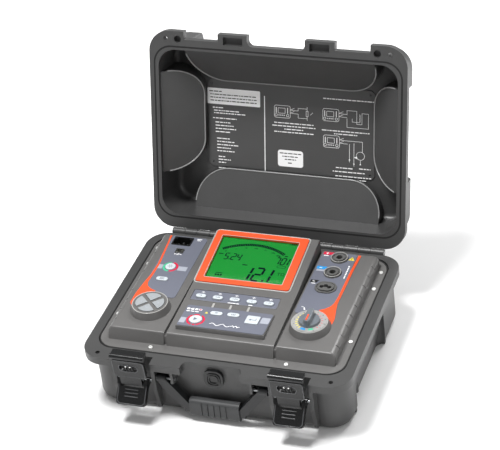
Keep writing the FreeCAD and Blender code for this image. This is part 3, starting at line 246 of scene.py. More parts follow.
# Spark-textured ABS: a lighter warm grey.
PANEL = Moulding("abs_panel", "#646362", "#5c5b5a", 0.38, 0.7, 0.03)
# Screen-printed polyester film: a cool satin blue-grey, nearly without grain.
OVERLAY = Moulding("polyester_overlay", "#6c6f7b", "#666975", 0.34, 0.5, 0.006)
# Orange film under a satin lacquer, bright and even.
ORANGE = Moulding("orange_film", "#e8552a", "#e24f25", 0.4, 0.6, 0.006)
# Glass-filled nylon: near black, with a satin bloom.
NYLON = Moulding("black_nylon", "#0d0e0f", "#090a0b", 0.28, 0.7, 0.02)
# A lighter copy of the black nylon on the latches' rims and rib tops: a painted highlight.
NYLON_PAINTED_HIGHLIGHT = Moulding("black_nylon_painted_highlight", "#5b5c5e", "#505153", 0.22, 0.7, 0.004)
# Glass-filled nylon of the handle, duller.
HANDLE = Moulding("black_nylon_handle", "#1b1c1e", "#141516", 0.42, 0.8, 0.03)
# Soft elastomer moulded over the handle: a dull dark grey.
SOFT_GRIP = Moulding("elastomer_grip", "#3b3c3d", "#343536", 0.55, 0.5, 0.03)
# Foam rubber cord, black and dull.
GASKET = Moulding("foam_rubber", "#161616", "#0e0e0e", 0.8, 0.5, 0.05)
# Silicone keys with a satin lacquer: a pale, cool silver.
KEY = Moulding("silicone_key", "#c6cdd2", "#bdc4c9", 0.4, 0.7, 0.01)
# The four arrow keys, in a darker silver lacquer.
ARROW_KEY = Moulding("silver_lacquered_key", "#999da0", "#909497", 0.3, 0.7, 0.02)
# Moulded ABS knob: a satin blue-grey.
KNOB = Moulding("abs_knob", "#6a7076", "#61676d", 0.34, 0.6, 0.01)
# Painted and printed aluminium dial: a smooth mid grey.
DIAL = Moulding("printed_dial", "#9c9c9a", "#939391", 0.36, 0.5, 0.006)
# Liquid crystal panel lit from behind: an even green glow.
LCD = Moulding("lcd_backlight", "#1f8431", "#187d34", 0.6, 0.4, 0.0, 60.0, 1.12, 0.16)
# Switched-on liquid crystal, near black with a blue cast.
SEGMENT = Moulding("lcd_segment", "#041420", "#03101a", 0.5, 0.4, 0.0, 35.0, 1.12)
# Printed styrene sheet in the lid: a flat dark grey.
PLATE = Moulding("styrene_plate", "#4b4b4b", "#454545", 0.4, 0.5, 0.006)
# Moulded polyamide: grey sockets and a black inlet, both with a dull sheen.
SOCKET = Moulding("polyamide_socket", "#5f5f5e", "#575756", 0.4, 0.6, 0.015)
INLET = Moulding("polyamide_inlet", "#101011", "#0a0a0b", 0.4, 0.6, 0.015)
# Poured potting resin, black and smooth.
POTTING = Moulding("potting_resin", "#1b1b1c", "#141415", 0.3, 0.8, 0.01)
# Green solder mask over a circuit board, glossy.
BOARD = Moulding("solder_mask", "#14502c", "#0f4625", 0.3, 0.5, 0.01)
# Blue heat-shrunk film round the cells, glossy.
WRAP = Moulding("shrink_wrap", "#27408a", "#21387c", 0.3, 0.8, 0.01)
# Screen inks: flat, slightly glossy, with a faint mottle.
WHITE_INK = Moulding("white_ink", "#f8f8f8", "#f2f2f2", 0.5, 0.4, 0.004)
PALE_INK = Moulding("pale_grey_ink", "#a4a8b2", "#9ca0ab", 0.45, 0.4, 0.004)
RED_INK = Moulding("red_ink", "#d01740", "#c5133a", 0.45, 0.4, 0.004)
BLUE_INK = Moulding("blue_ink", "#2a97dd", "#248dd2", 0.45, 0.4, 0.004)
YELLOW_INK = Moulding("yellow_ink", "#e6d64a", "#dccb42", 0.45, 0.4, 0.004)
GREEN_INK = Moulding("green_ink", "#46b98f", "#3fae85", 0.45, 0.4, 0.004)
BLACK_INK = Moulding("black_ink", "#1a1b1e", "#131417", 0.45, 0.4, 0.004)
# A pale grey: the lead bars' own colour, and a painted highlight on the edges round the bosses, the sockets,
# the display and the window.
PALE_TRIM_AND_HIGHLIGHT = Moulding("pale_trim_and_painted_highlight", "#a9a8a5", "#a09f9c", 0.3, 0.6, 0.01)
# Zinc-plated steel, passivated steel, nickel plate and turned brass: fine lines that draw out the highlights.
STEEL = Metal("zinc_plated_steel", "#b4b6b8", 0.32)
BRIGHT_STEEL = Metal("bright_passivated_steel", "#f4f4f2", 0.5)
NICKEL = Metal("nickel_plate", "#c9c9c6", 0.25)
BRASS = Metal("brass_contact", "#c9a25a", 0.28)
# Cast acrylic, clear, with a faint and sharp reflection.
GLASS = ClearPane("acrylic_window", "#fbfdfb")

Finish = Moulding | Metal | ClearPane
MADE: dict[Finish, bpy.types.Material] = {}


def material_of(finish: Finish) -> bpy.types.Material:
    """Give a finish's material, made once.

    Args:
        finish: The finish.

    Returns:
        Its material.
    """
    if finish not in MADE:
        MADE[finish] = finish.build()
    return MADE[finish]


def dress_node(node: str, finish: Finish) -> None:
    """Give a CAD node its finish.

    Args:
        node: The node's name.
        finish: Its finish.
    """
    mesh = frame["nodes"][node].data
    mesh.materials.clear()
    mesh.materials.append(material_of(finish))
    LOG.info("%s: dressed in %s", node, finish.name)


# ---------------------------------------------------------------- surfaces to print on
@dataclass(frozen=True)
class Surface:
    """A flat place on the object: its origin in millimetres and its tilt about X in degrees."""

    origin: tuple[float, float, float]
    tilt: float = 0.0

    def matrix(self) -> Matrix:
        """Take millimetres on the surface to metres in the frame."""
        turn = Matrix.Rotation(math.radians(self.tilt), 4, "X")
        return Matrix.Translation(Vector(self.origin) * MM) @ turn @ Matrix.Scale(MM, 4)

    def raised(self, height: float) -> "Surface":
        """Give the parallel surface above this one.

        Args:
            height: How far above, in millimetres.

        Returns:
            The raised surface.
        """
        angle = math.radians(self.tilt)
        x, y, z = self.origin
        return Surface((x, y - height * math.sin(angle), z + height * math.cos(angle)), self.tilt)


@dataclass(frozen=True)
class LidSurface:
    """A flat place under the lid's roof, given as if the lid were shut; V runs to the lid's front edge."""

    depth: float

    def matrix(self) -> Matrix:
        """Take millimetres on the surface to metres in the frame, with the lid open.

        Returns:
            The matrix.
        """
        joint = next(j for j in frame["joints"] if j["name"] == "lid_hinge")
        hinge = Matrix.Translation(Vector(joint["pos_m"]))
        opened = hinge @ Matrix.Rotation(-math.radians(LID_OPEN), 4, "X") @ hinge.inverted()
        face_down = Matrix.Rotation(math.pi, 4, "X")
        return opened @ Matrix.Translation((0, 0, self.depth * MM)) @ face_down @ Matrix.Scale(MM, 4)


# How far the lid stands open in degrees, and where the latches, the round key and the two bosses are.
LID_OPEN = 106.0
LATCH_X = 115.5
ROUND_KEY: Point = (-127.0, 43.0)
ARROW_BOSS: Point = (-121.0, -56.0)
DIAL_BOSS: Point = (117.0, -56.0)
# How many sides a swept section has.
SECTION_SIDES = 10
TOP_OF_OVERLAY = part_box("overlay_left")[1].z / MM
PODS = Surface((0.0, 0.0, TOP_OF_OVERLAY))
DISPLAY = Surface((0.0, 8.0, 114.5), 6.287)
STRIP = Surface((0.0, -107.0, 110.0), 2.241)
LOWER = Surface((0.0, -94.0, 117.0), -3.1)
PLATE_FACE = LidSurface(160.9)
# How thick a print stands, and how large a font's size is for numerals one millimetre high.
INK = 0.06
SIZE_FOR_HEIGHT = 1.38


def strip_key_x(place: int) -> float:
    """Give the x of a key on the strip, counted from the left."""
    return -56.5 + 25.5 * place


# ---------------------------------------------------------------- outlines
def arc(x: float, y: float, radius: float, start: float, stop: float, steps: int = 16) -> Outline:
    """Give points along an arc.

    Args:
        x: The centre's x.
        y: The centre's y.
        radius: The arc's radius.
        start: The first angle in degrees.
        stop: The last angle in degrees.
        steps: How many chords to cut it into.

    Returns:
        The points in order.
    """
    angles = [math.radians(start + (stop - start) * i / steps) for i in range(steps + 1)]
    return [(x + radius * math.cos(a), y + radius * math.sin(a)) for a in angles]


def disc(x: float, y: float, radius: float, steps: int = 32) -> Outline:
    """Give a full circle's points."""
    return arc(x, y, radius, 0, 360, steps)[:-1]


def rounded(x: float, y: float, wide: float, tall: float, corner: float = 0.0) -> Outline:
    """Give a rectangle about its centre, with rounded corners.

    Args:
        x: The centre's x.
        y: The centre's y.
        wide: Its width.
        tall: Its height.
        corner: The corners' radius.

    Returns:
        The points, anticlockwise.
    """
    a = wide / 2 - corner
    b = tall / 2 - corner
    if corner <= 0:
        return [(x - a, y - b), (x + a, y - b), (x + a, y + b), (x - a, y + b)]
    points: Outline = []
    for sx, sy, start in ((1, -1, -90), (1, 1, 0), (-1, 1, 90), (-1, -1, 180)):
        points += arc(x + sx * a, y + sy * b, corner, start, start + 90, 6)
    return points


def rails(points: Outline, wide: float) -> tuple[Outline, Outline]:
    """Give the two edges of a line of even width.

    Args:
        points: The line's middle.
        wide: The line's width.

    Returns:
        The left and the right edge.
    """
    left: Outline = []
    right: Outline = []
    for i, (x, y) in enumerate(points):
        before = Vector(points[max(i - 1, 0)])
        after = Vector(points[min(i + 1, len(points) - 1)])
        here = Vector((x, y))
        first = (here - before).normalized() if i else (after - here).normalized()
        last = (after - here).normalized() if i < len(points) - 1 else first
        along = (first + last).normalized() if (first + last).length > 1e-6 else first
        reach = wide / 2 / max(along.dot(first), 0.4)
        left.append((x - along.y * reach, y + along.x * reach))
        right.append((x + along.y * reach, y - along.x * reach))
    return left, right


# ---------------------------------------------------------------- meshes
def finish_piece(name: str, mesh: bpy.types.Mesh, finish: Finish, body: str) -> bpy.types.Object:
    """Turn a mesh that lies in the frame into a finished piece.

    Args:
        name: The piece's name.
        mesh: Its mesh, in metres, in place.
        finish: Its finish.
        body: The body that it rides on.

    Returns:
        The piece.
    """
    mesh.materials.clear()
    mesh.materials.append(material_of(finish))
    piece = bpy.data.objects.new(name, mesh)
    bpy.context.scene.collection.objects.link(piece)
    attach(piece, body)
    LOG.info("%s: %d faces on %s", name, len(mesh.polygons), body)
    return piece


@dataclass
class Plates:
    """Thin plates on one surface, gathered into one piece; low and high are heights above the surface."""

    low: float = 0.0
    high: float = INK
    mesh: bmesh.types.BMesh = field(default_factory=bmesh.new)

    def fill(self, outline: Outline) -> "Plates":
        """Add a plate.

        Args:
            outline: The plate's outline, either way round.

        Returns:
            These plates.
        """
        area = sum(a[0] * b[1] - b[0] * a[1] for a, b in zip(outline, outline[1:] + outline[:1]))
        points = outline if area > 0 else outline[::-1]
        top = [self.mesh.verts.new((x, y, self.high)) for x, y in points]
        base = [self.mesh.verts.new((x, y, self.low)) for x, y in points]
        self.mesh.faces.new(top)
        self.mesh.faces.new(base[::-1])
        for i in range(len(points)):
            j = (i + 1) % len(points)
            self.mesh.faces.new((base[i], base[j], top[j], top[i]))
        return self

    def band(self, left: Outline, right: Outline, closed: bool = False) -> "Plates":
        """Add a band between two edges that run the same way.

        Args:
            left: The edge on the left of the run.
            right: The edge on its right, with as many points.
            closed: Whether the band joins its own start.

        Returns:
            These plates.
        """
        rows = [[self.mesh.verts.new((x, y, z)) for x, y in edge]
                for edge, z in ((left, self.high), (right, self.high), (right, self.low), (left, self.low))]
        count = len(left)
        made = []
        for i in range(count if closed else count - 1):
            j = (i + 1) % count
            for a, b in zip(rows, rows[1:] + rows[:1]):
                made.append(self.mesh.faces.new((a[i], b[i], b[j], a[j])))
        if not closed:
            made.append(self.mesh.faces.new([row[0] for row in rows]))
            made.append(self.mesh.faces.new([row[-1] for row in rows][::-1]))
        bmesh.ops.recalc_face_normals(self.mesh, faces=made)
        return self

    def line(self, points: Outline, wide: float, closed: bool = False) -> "Plates":
        """Add a line of even width."""
        path = points + [points[0]] if closed else points
        return self.band(*rails(path, wide))

    def ring(self, x: float, y: float, inner: float, outer: float, start: float = 0.0,
             stop: float = 360.0) -> "Plates":
        """Add a ring or part of one.

        Args:
            x: The centre's x.
            y: The centre's y.
            inner: The inner radius.
            outer: The outer radius.
            start: The first angle in degrees.
            stop: The last angle in degrees.

        Returns:
            These plates.
        """
        full = abs(stop - start) >= 360
        steps = max(int(abs(stop - start) / 9), 4)
        near = arc(x, y, inner, start, stop, steps)
        far = arc(x, y, outer, start, stop, steps)
        return self.band(near[:-1], far[:-1], True) if full else self.band(near, far)

    def piece(self, name: str, place: Surface | LidSurface, finish: Finish, body: str) -> bpy.types.Object:
        """Finish the plates as one piece on a surface.

        Args:
            name: The piece's name.
            place: The surface.
            finish: The piece's finish.
            body: The body that it rides on.

        Returns:
            The piece.
        """
        data = bpy.data.meshes.new(name)
        self.mesh.to_mesh(data)
        self.mesh.free()
        data.transform(place.matrix())
        return finish_piece(name, data, finish, body)


def letters(text: str, tall: float, x: float, y: float) -> bpy.types.Mesh:
    """Make flat numerals or signs as a thin mesh in millimetres.

    Args:
        text: What to write.
        tall: The height of a numeral.
        x: Where its middle is.
        y: Where its middle is.

    Returns:
        The mesh.
    """
    curve = bpy.data.curves.new("letters", "FONT")
    curve.body = text
    curve.size = tall * SIZE_FOR_HEIGHT
    curve.align_x = "CENTER"
    curve.align_y = "CENTER"
    curve.extrude = INK / 2
    curve.resolution_u = 3
    carrier = bpy.data.objects.new("letters", curve)
    bpy.context.scene.collection.objects.link(carrier)
    seen = carrier.evaluated_get(bpy.context.evaluated_depsgraph_get())
    mesh = bpy.data.meshes.new_from_object(seen)
    bpy.data.objects.remove(carrier)
    bpy.data.curves.remove(curve)
    mesh.transform(Matrix.Translation((x, y, INK / 2)))
    return mesh


def merged(meshes: list[bpy.types.Mesh]) -> bpy.types.Mesh:
    """Join meshes into one.

    Args:
        meshes: The meshes, which are used up.

    Returns:
        The joined mesh.
    """
    whole = bmesh.new()
    for mesh in meshes:
        whole.from_mesh(mesh)
        bpy.data.meshes.remove(mesh)
    data = bpy.data.meshes.new("merged")
    whole.to_mesh(data)
    whole.free()
    return data


# ---------------------------------------------------------------- geometry nodes
class Layout(Enum):
    """How a repeated block is laid out."""

    ROW = "row"
    RING = "ring"


class Block(Enum):
    """What is repeated."""

    BRICK = "brick"
    PEG = "peg"


def new_tree(name: str, sockets: dict[str, str]) -> tuple[bpy.types.NodeTree, bpy.types.Node]:
    """Make an empty Geometry Nodes tree.

    Args:
        name: The tree's name.
        sockets: Input names and their socket types.

    Returns:
        The tree and its input node.
    """
    tree = bpy.data.node_groups.new(name, "GeometryNodeTree")
    tree.interface.new_socket("Geometry", in_out="INPUT", socket_type="NodeSocketGeometry")
    tree.interface.new_socket("Geometry", in_out="OUTPUT", socket_type="NodeSocketGeometry")
    for title, kind in sockets.items():
        tree.interface.new_socket(title, in_out="INPUT", socket_type=kind)
    return tree, add_node(tree, "NodeGroupInput")


def close_tree(tree: bpy.types.NodeTree, shape: bpy.types.NodeSocket, finish: Finish, smooth: bool) -> None:
    """End a tree in Realize Instances and Set Material.

    Args:
        tree: The tree.
        shape: The socket that gives the finished shape.
        finish: The shape's finish.
        smooth: Whether its faces are shaded smooth.
    """
    real = add_node(tree, "GeometryNodeRealizeInstances", None, {"Geometry": shape})
    shade = add_node(tree, "GeometryNodeSetShadeSmooth", None, {0: real.outputs[0], "Shade Smooth": smooth})
    paint = add_node(tree, "GeometryNodeSetMaterial", None,
                     {"Geometry": shade.outputs[0], "Material": material_of(finish)})
    add_node(tree, "NodeGroupOutput", None, {0: paint.outputs[0]})


def repeat_tree(layout: Layout, block: Block, finish: Finish) -> bpy.types.NodeTree:
    """Build the tree that repeats a block in a row or round a ring.

    Args:
        layout: Row or ring.
        block: Brick or peg.
        finish: The blocks' finish.

    Returns:
        The tree.
    """
    number, vector, whole = "NodeSocketFloat", "NodeSocketVector", "NodeSocketInt"
    tree, source = new_tree(f"repeat_{layout.value}_{block.value}", {
        "Count": whole, "Start": vector, "Step": vector, "Size": vector, "Radius": number,
        "First Angle": number, "Step Angle": number})
    take = source.outputs
    if layout is Layout.ROW:
        line = add_node(tree, "GeometryNodeMeshLine", {"mode": "OFFSET"},
                        {"Count": take["Count"], "Start Location": take["Start"], "Offset": take["Step"]})
        spots = line.outputs[0]
        turn = (0.0, 0.0, 0.0)
    else:
        line = add_node(tree, "GeometryNodeMeshLine", {"mode": "OFFSET"}, {"Count": take["Count"]})
        index = add_node(tree, "GeometryNodeInputIndex")
        angle = add_node(tree, "ShaderNodeMath", {"operation": "MULTIPLY_ADD"},
                         {0: index.outputs[0], 1: take["Step Angle"], 2: take["First Angle"]}).outputs[0]
        parts = []
        for operation in ("COSINE", "SINE"):
            wave = add_node(tree, "ShaderNodeMath", {"operation": operation}, {0: angle})
            parts.append(add_node(tree, "ShaderNodeMath", {"operation": "MULTIPLY"},
                                  {0: wave.outputs[0], 1: take["Radius"]}).outputs[0])
        spot = add_node(tree, "ShaderNodeCombineXYZ", None, {"X": parts[0], "Y": parts[1]})
        moved = add_node(tree, "ShaderNodeVectorMath", {"operation": "ADD"},
                         {0: spot.outputs[0], 1: take["Start"]})
        spots = add_node(tree, "GeometryNodeSetPosition", None,
                         {"Geometry": line.outputs[0], "Position": moved.outputs[0]}).outputs[0]
        turn = add_node(tree, "ShaderNodeCombineXYZ", None, {"Z": angle}).outputs[0]
    if block is Block.BRICK:
        shape = add_node(tree, "GeometryNodeMeshCube", None, {"Size": take["Size"]}).outputs[0]
    else:
        split = add_node(tree, "ShaderNodeSeparateXYZ", None, {0: take["Size"]})
        shape = add_node(tree, "GeometryNodeMeshCylinder", None,
                         {"Vertices": 20, "Radius": split.outputs["X"],
                          "Depth": split.outputs["Z"]}).outputs[0]
    placed = add_node(tree, "GeometryNodeInstanceOnPoints", None,
                      {"Points": spots, "Instance": shape, "Rotation": turn})
    close_tree(tree, placed.outputs[0], finish, False)
    return tree


def sweep_tree(finish: Finish) -> bpy.types.NodeTree:
    """Build the tree that sweeps a round or flattened section along the edges of a mesh.

    Args:
        finish: The swept strip's finish.

    Returns:
        The tree.
    """
    number = "NodeSocketFloat"
    tree, source = new_tree("sweep", {"Radius": number, "Flatness": number, "Sides": "NodeSocketInt"})
    take = source.outputs
    path = add_node(tree, "GeometryNodeMeshToCurve", None, {0: take["Geometry"]})
    section = add_node(tree, "GeometryNodeCurvePrimitiveCircle", None,
                       {"Resolution": take["Sides"], "Radius": take["Radius"]})
    squeeze = add_node(tree, "ShaderNodeCombineXYZ", None, {"X": 1.0, "Y": take["Flatness"], "Z": 1.0})
    shaped = add_node(tree, "GeometryNodeTransform", None,
                      {"Geometry": section.outputs[0], "Scale": squeeze.outputs[0]})
    tube = add_node(tree, "GeometryNodeCurveToMesh", None,
                    {"Curve": path.outputs[0], "Profile Curve": shaped.outputs[0], "Fill Caps": True})
    close_tree(tree, tube.outputs[0], finish, True)
    return tree


def grow(tree: bpy.types.NodeTree, values: dict[str, Any],
         base: bpy.types.Mesh | None = None) -> bpy.types.Mesh:
    """Run a tree once and keep what it makes.

    Args:
        tree: The Geometry Nodes tree.
        values: Its inputs by name.
        base: The mesh that it starts from, if it needs one.

    Returns:
        A plain mesh.
    """
    carrier = bpy.data.objects.new("carrier", base or bpy.data.meshes.new("carrier"))
    bpy.context.scene.collection.objects.link(carrier)
    modifier = carrier.modifiers.new("Grow", "NODES")
    modifier.node_group = tree
    for item in tree.interface.items_tree:
        if item.item_type == "SOCKET" and item.in_out == "INPUT" and item.name in values:
            modifier[item.identifier] = values[item.name]
    seen = carrier.evaluated_get(bpy.context.evaluated_depsgraph_get())
    mesh = bpy.data.meshes.new_from_object(seen)
    bpy.data.objects.remove(carrier)
    return mesh


def path_mesh(points: list[tuple[float, float, float]], closed: bool = False) -> bpy.types.Mesh:
    """Make a mesh of edges that joins points in order.

    Args:
        points: The points in millimetres.
        closed: Whether the last point joins the first.

    Returns:
        The mesh.
    """
    edges = [(i, i + 1) for i in range(len(points) - 1)]
    if closed:
        edges.append((len(points) - 1, 0))
    mesh = bpy.data.meshes.new("path")
    mesh.from_pydata(points, edges, [])
    return mesh


def swept(name: str, points: list[tuple[float, float, float]], radius: float, finish: Finish, body: str,
          place: Matrix, closed: bool = False, flatness: float = 1.0) -> bpy.types.Object:
    """Make a rounded strip or cord that follows a path.

    Args:
        name: The piece's name.
        points: The path in millimetres.
        radius: The section's radius in millimetres.
        finish: Its finish.
        body: The body that it rides on.
        place: What takes millimetres to the frame.
        closed: Whether the path joins its start.
        flatness: The section's height over its width.

    Returns:
        The piece.
    """
    mesh = grow(sweep_tree(finish), {"Radius": radius, "Flatness": flatness, "Sides": SECTION_SIDES},
                path_mesh(points, closed))
    mesh.transform(place)
    return finish_piece(name, mesh, finish, body)


def in_space(outline: Outline, height: float = 0.0) -> list[tuple[float, float, float]]:
    """Lift a flat outline to a height."""
    return [(x, y, height) for x, y in outline]


# ---------------------------------------------------------------- the case
@dataclass
class Case:
    """The base tub with its flange, hinge, handle, latches and everything inside."""

    finishes: dict[str, Finish] = field(default_factory=lambda: {
        "base_shell": CASE, "hinge_pins": STEEL, "front_pins": STEEL, "pressure_valve": NYLON,
        "handle_frame": HANDLE, "handle_grip": SOFT_GRIP, "latch_lever_left": NYLON,
        "latch_clamp_left": NYLON, "latch_lever_right": NYLON, "latch_clamp_right": NYLON,
        "main_board": BOARD, "board_posts": STEEL, "rotary_switch": POTTING, "battery_pack": WRAP,
        "battery_bracket": STEEL, "high_voltage_module": POTTING, "power_supply": BOARD, "buzzer": POTTING})

    def dress(self) -> None:
        """Give every CAD node of the case its finish."""
        for node, finish in self.finishes.items():
            dress_node(node, finish)


# ---------------------------------------------------------------- the latches
@dataclass
class Latch:
    """One draw latch: the clamp with its slot and the lever with its finger ribs."""

    side: str
    x: float
    pin_y: float = -150.0
    pin_z: float = 58.0
    lever_tilt: float = 50.0
    lever_top: float = 9.0
    clamp_y: float = -160.751
    clamp_z: float = 59.189
    clamp_tilt: float = 96.0
    clamp_top: float = 4.4

    def clamp_trim(self) -> None:
        """Add the rolled rims of the clamp's face and slot, in a grey that paints their highlight, and the
        two pins in the slot.
        """
        face = Surface((self.x, self.clamp_y, self.clamp_z), self.clamp_tilt).raised(self.clamp_top)
        body = f"clamp_{self.side}"
        slot = in_space(rounded(0, 32, 28, 13, 6))
        swept(f"clamp_slot_rim_{self.side}", slot, 0.7, NYLON_PAINTED_HIGHLIGHT, body, face.matrix(), True, 0.9)
        pins = grow(repeat_tree(Layout.ROW, Block.PEG, BRIGHT_STEEL), {
            "Count": 2, "Start": (-3.2, 35.0, -0.9), "Step": (6.4, 0.0, 0.0), "Size": (1.1, 1.1, 2.2)})
        pins.transform(face.matrix())
        finish_piece(f"clamp_pins_{self.side}", pins, BRIGHT_STEEL, body)
        edge = in_space(rounded(0, 30, 46.4, 29.6, 4), -0.2)
        swept(f"clamp_face_rim_{self.side}", edge, 0.6, NYLON_PAINTED_HIGHLIGHT, body, face.matrix(), True, 0.8)

    def lever_trim(self) -> None:
        """Add the finger ribs' tops and the lever's rolled edge, in a grey that paints their highlight."""
        face = Surface((self.x, self.pin_y, self.pin_z), self.lever_tilt).raised(self.lever_top)
        body = f"lever_{self.side}"
        ribs = grow(repeat_tree(Layout.ROW, Block.BRICK, NYLON_PAINTED_HIGHLIGHT), {
            "Count": 3, "Start": (0.0, -16.0, 1.0), "Step": (0.0, -5.0, 0.0), "Size": (19.0, 0.7, 0.5)})
        ribs.transform(face.matrix())
        finish_piece(f"lever_rib_tops_{self.side}", ribs, NYLON_PAINTED_HIGHLIGHT, body)
        outline = [(-20.5, -10), (-20.5, -33), (-17, -36.6), (17, -36.6), (20.5, -33), (20.5, -10)]
        edge = in_space(outline, -0.2)
        swept(f"lever_rim_{self.side}", edge, 0.6, NYLON_PAINTED_HIGHLIGHT, body, face.matrix(), False, 0.8)


# ---------------------------------------------------------------- the lid
@dataclass(frozen=True)
class Arch:
    """One arched wall of the lid, in millimetres.

    The wall lies at a distance from the middle, turned about Z in degrees, and its arch has a reach, a span
    and a shift along the wall. The arch starts rise over the lid's mouth and goes up by climb.
    """

    name: str
    turn: float
    wall: float
    reach: float
    span: float
    shift: float
    rise: float
    climb: float


@dataclass
class Lid:
    """The lid with its gasket and the printed plate under its roof."""

    line: float = 0.55
    text_tall: float = 1.5
    word_gap: float = 1.1
    mouth: float = 92.4
    bead: float = 1.1
    roundness: float = 0.85
    arches: tuple[Arch, ...] = (
        Arch("front", 0, 128, 58, 290, 0, 8, 50), Arch("right", 90, 183, 50, 156, -12, 8, 50),
        Arch("back", 180, 128, 58, 290, 0, 41, 22), Arch("left", -90, 183, 50, 156, 12, 8, 50))

    def dress(self) -> None:
        """Give the lid's CAD nodes their finishes."""
        dress_node("lid_shell", CASE)
        dress_node("lid_gasket", GASKET)
        dress_node("info_plate", PLATE)

    def arch_edges(self) -> None:
        """Roll a smooth bead along the edge of each arched wall, in a light grey that paints its highlight.
        """
        shut = LidSurface(0.0).matrix() @ Matrix.Rotation(math.pi, 4, "X")
        for arch in self.arches:
            bend = self.roundness * arch.reach
            half = arch.span / 2 - bend
            centre = arch.reach - arch.wall - bend
            outline = arc(arch.shift - half, centre, bend, 180, 90, 14)
            outline += arc(arch.shift + half, centre, bend, 90, 0, 14)
            foot = self.mouth + arch.rise
            points = [(x, y, foot + arch.climb * (y + arch.wall) / arch.reach) for x, y in outline]
            swept(f"lid_arch_edge_{arch.name}", points, self.bead, LID_PAINTED_HIGHLIGHT, "lid",
                  shut @ Matrix.Rotation(math.radians(arch.turn), 4, "Z"))

    def words(self, plates: Plates, x: float, y: float, long: float, seed: int,
              centred: bool = False) -> None:
        """Add one row of unreadable print, as short dashes.

        Args:
            plates: What gets the dashes.
            x: The row's left end, or its middle.
            y: The row's middle.
            long: How long the row is.
            seed: What sets the dashes' lengths.
            centred: Whether x is the middle.
        """
        at = x - long / 2 if centred else x
        end = at + long
        step = seed
        while at < end - 1.0:
            step = (step * 37 + 11) % 101
            word = min(2.2 + step % 5 * 1.3, end - at)
            plates.fill(rounded(at + word / 2, y, word, self.text_tall, 0.3))
            at += word + self.word_gap

    def meter(self, plates: Plates, x: float, y: float) -> None:
        """Add a small outline of the instrument with its display and keys.

        Args:
            plates: What gets the lines.
            x: The outline's middle.
            y: The outline's middle.
        """
        plates.line(rounded(x, y, 25, 19, 3), self.line, True)
        plates.line(rounded(x - 1, y + 1.5, 11, 8, 0.5), self.line, True)
        for dx in (-9.6, 8.4):
            plates.fill(rounded(x + dx, y + 2, 1.2, 9, 0.4))
            plates.line(disc(x + dx, y - 5.6, 1.9, 12), self.line, True)
        for i in range(4):
            plates.fill(rounded(x - 5.2 + 2.8 * i, y - 5.6, 1.7, 1.3, 0.3))

    def diagrams(self, plates: Plates) -> None:
        """Add the three connection diagrams: a resistor, a winding and a machine, each with its meter.

        Args:
            plates: What gets the lines.
        """
        for x, y in ((-13, 26), (63, 27), (64, -14)):
            self.meter(plates, x, y)
            for dy in (3.6, -1.2):
                plates.line([(x + 12.5, y + dy), (x + 19, y + dy + 3.0)], self.line)
                plates.line([(x + 12.5, y + dy), (x + 19, y + dy - 0.6), (x + 25, y + dy - 0.6)], self.line)
        leads = (
            [(12, 29), (12, 33), (26, 33)], [(12, 24), (12, 18), (26, 18)], [(26, 36), (26, 30)],
            [(26, 21), (26, 15)], [(31, 24), (35, 28)],
            [(88, 29), (88, 36), (103, 36), (103, 16), (111, 16), (111, 33), (121, 33)],
            [(88, 24), (88, 10), (121, 10), (121, 33)], [(96, 24), (96, 19), (107, 19)],
            [(89, -11), (112, -11), (112, -27)], [(92, -15.6), (92, -44)], [(99, -14), (99, -50)],
            [(109, -39.4), (109, -46)])
        for lead in leads:
            plates.line(lead, self.line)
        plates.line(rounded(26, 25.5, 3, 8), self.line, True)
        for i in range(5):
            plates.line(arc(107, 20 + 2.4 * i, 1.3, -90, 90, 6), self.line)
        plates.line(disc(109, -33, 6.4, 20), self.line, True)
        plates.fill([(99, -36), (104, -38), (104, -34)])
        for x, y in ((92, -38), (99, -44), (109, -44)):
            plates.fill([(x, y), (x - 1.4, y - 3), (x + 1.4, y - 3)])

    def white_print(self) -> None:
        """Print the notice's field, the columns of text, the diagrams, a line and the badge's field."""
        white = Plates()
        white.fill(rounded(-90, 42, 84, 25, 1.5))
        white.fill(rounded(-41, -13, 1.3, 122))
        white.fill(rounded(-0.5, -47, 40, 26, 4))
        rows = [(-124, 24, 18), (-122, 19.5, 40), (-122, 15.5, 52), (-124, 7.5, 38)]
        rows += [(-120, 1 - 5 * i, 24 + 5 * (i % 3)) for i in range(4)]
        rows += [(-118, -24.5 - 5 * i, 22 + 6 * (i % 3)) for i in range(5)]
        rows += [(-116, -53.5 - 4.6 * i, 12 + 8 * (i % 2)) for i in range(3)]
        rows += [(-116, -71.5 - 4.6 * i, 14 + 8 * (i % 2)) for i in range(3)]
        for seed, (x, y, long) in enumerate(rows, start=3):
            self.words(white, x, y, long, seed)
        captions = [(5, 8.5, 62), (5, 3.8, 68), (5, -0.9, 30), (5, -5.6, 62), (86, 3, 74), (86, -1.5, 36),
                    (84, -54, 26), (116, -53, 18), (92, -60, 52), (98, -67, 56), (98, -71.5, 40)]
        for seed, (x, y, long) in enumerate(captions, start=31):
            self.words(white, x, y, long, seed, True)
        self.words(white, 90, 52, 78, 71, True)
        self.diagrams(white)
        white.piece("plate_print_white", PLATE_FACE, WHITE_INK, "lid")

    def dark_print(self) -> None:
        """Print the words on the notice and the badge."""
        dark = Plates(INK, 2 * INK)
        for seed in range(4):
            self.words(dark, -129 + 1.5 * (seed > 0), 49.5 - 4.8 * seed, 20 if seed == 0 else 74, 90 + seed)
        for seed, (y, long) in enumerate(((-39, 34), (-44, 26), (-48.5, 18), (-54, 8))):
            self.words(dark, -0.5, y, long, 50 + seed, True)
        dark.piece("plate_print_dark", PLATE_FACE, BLACK_INK, "lid")


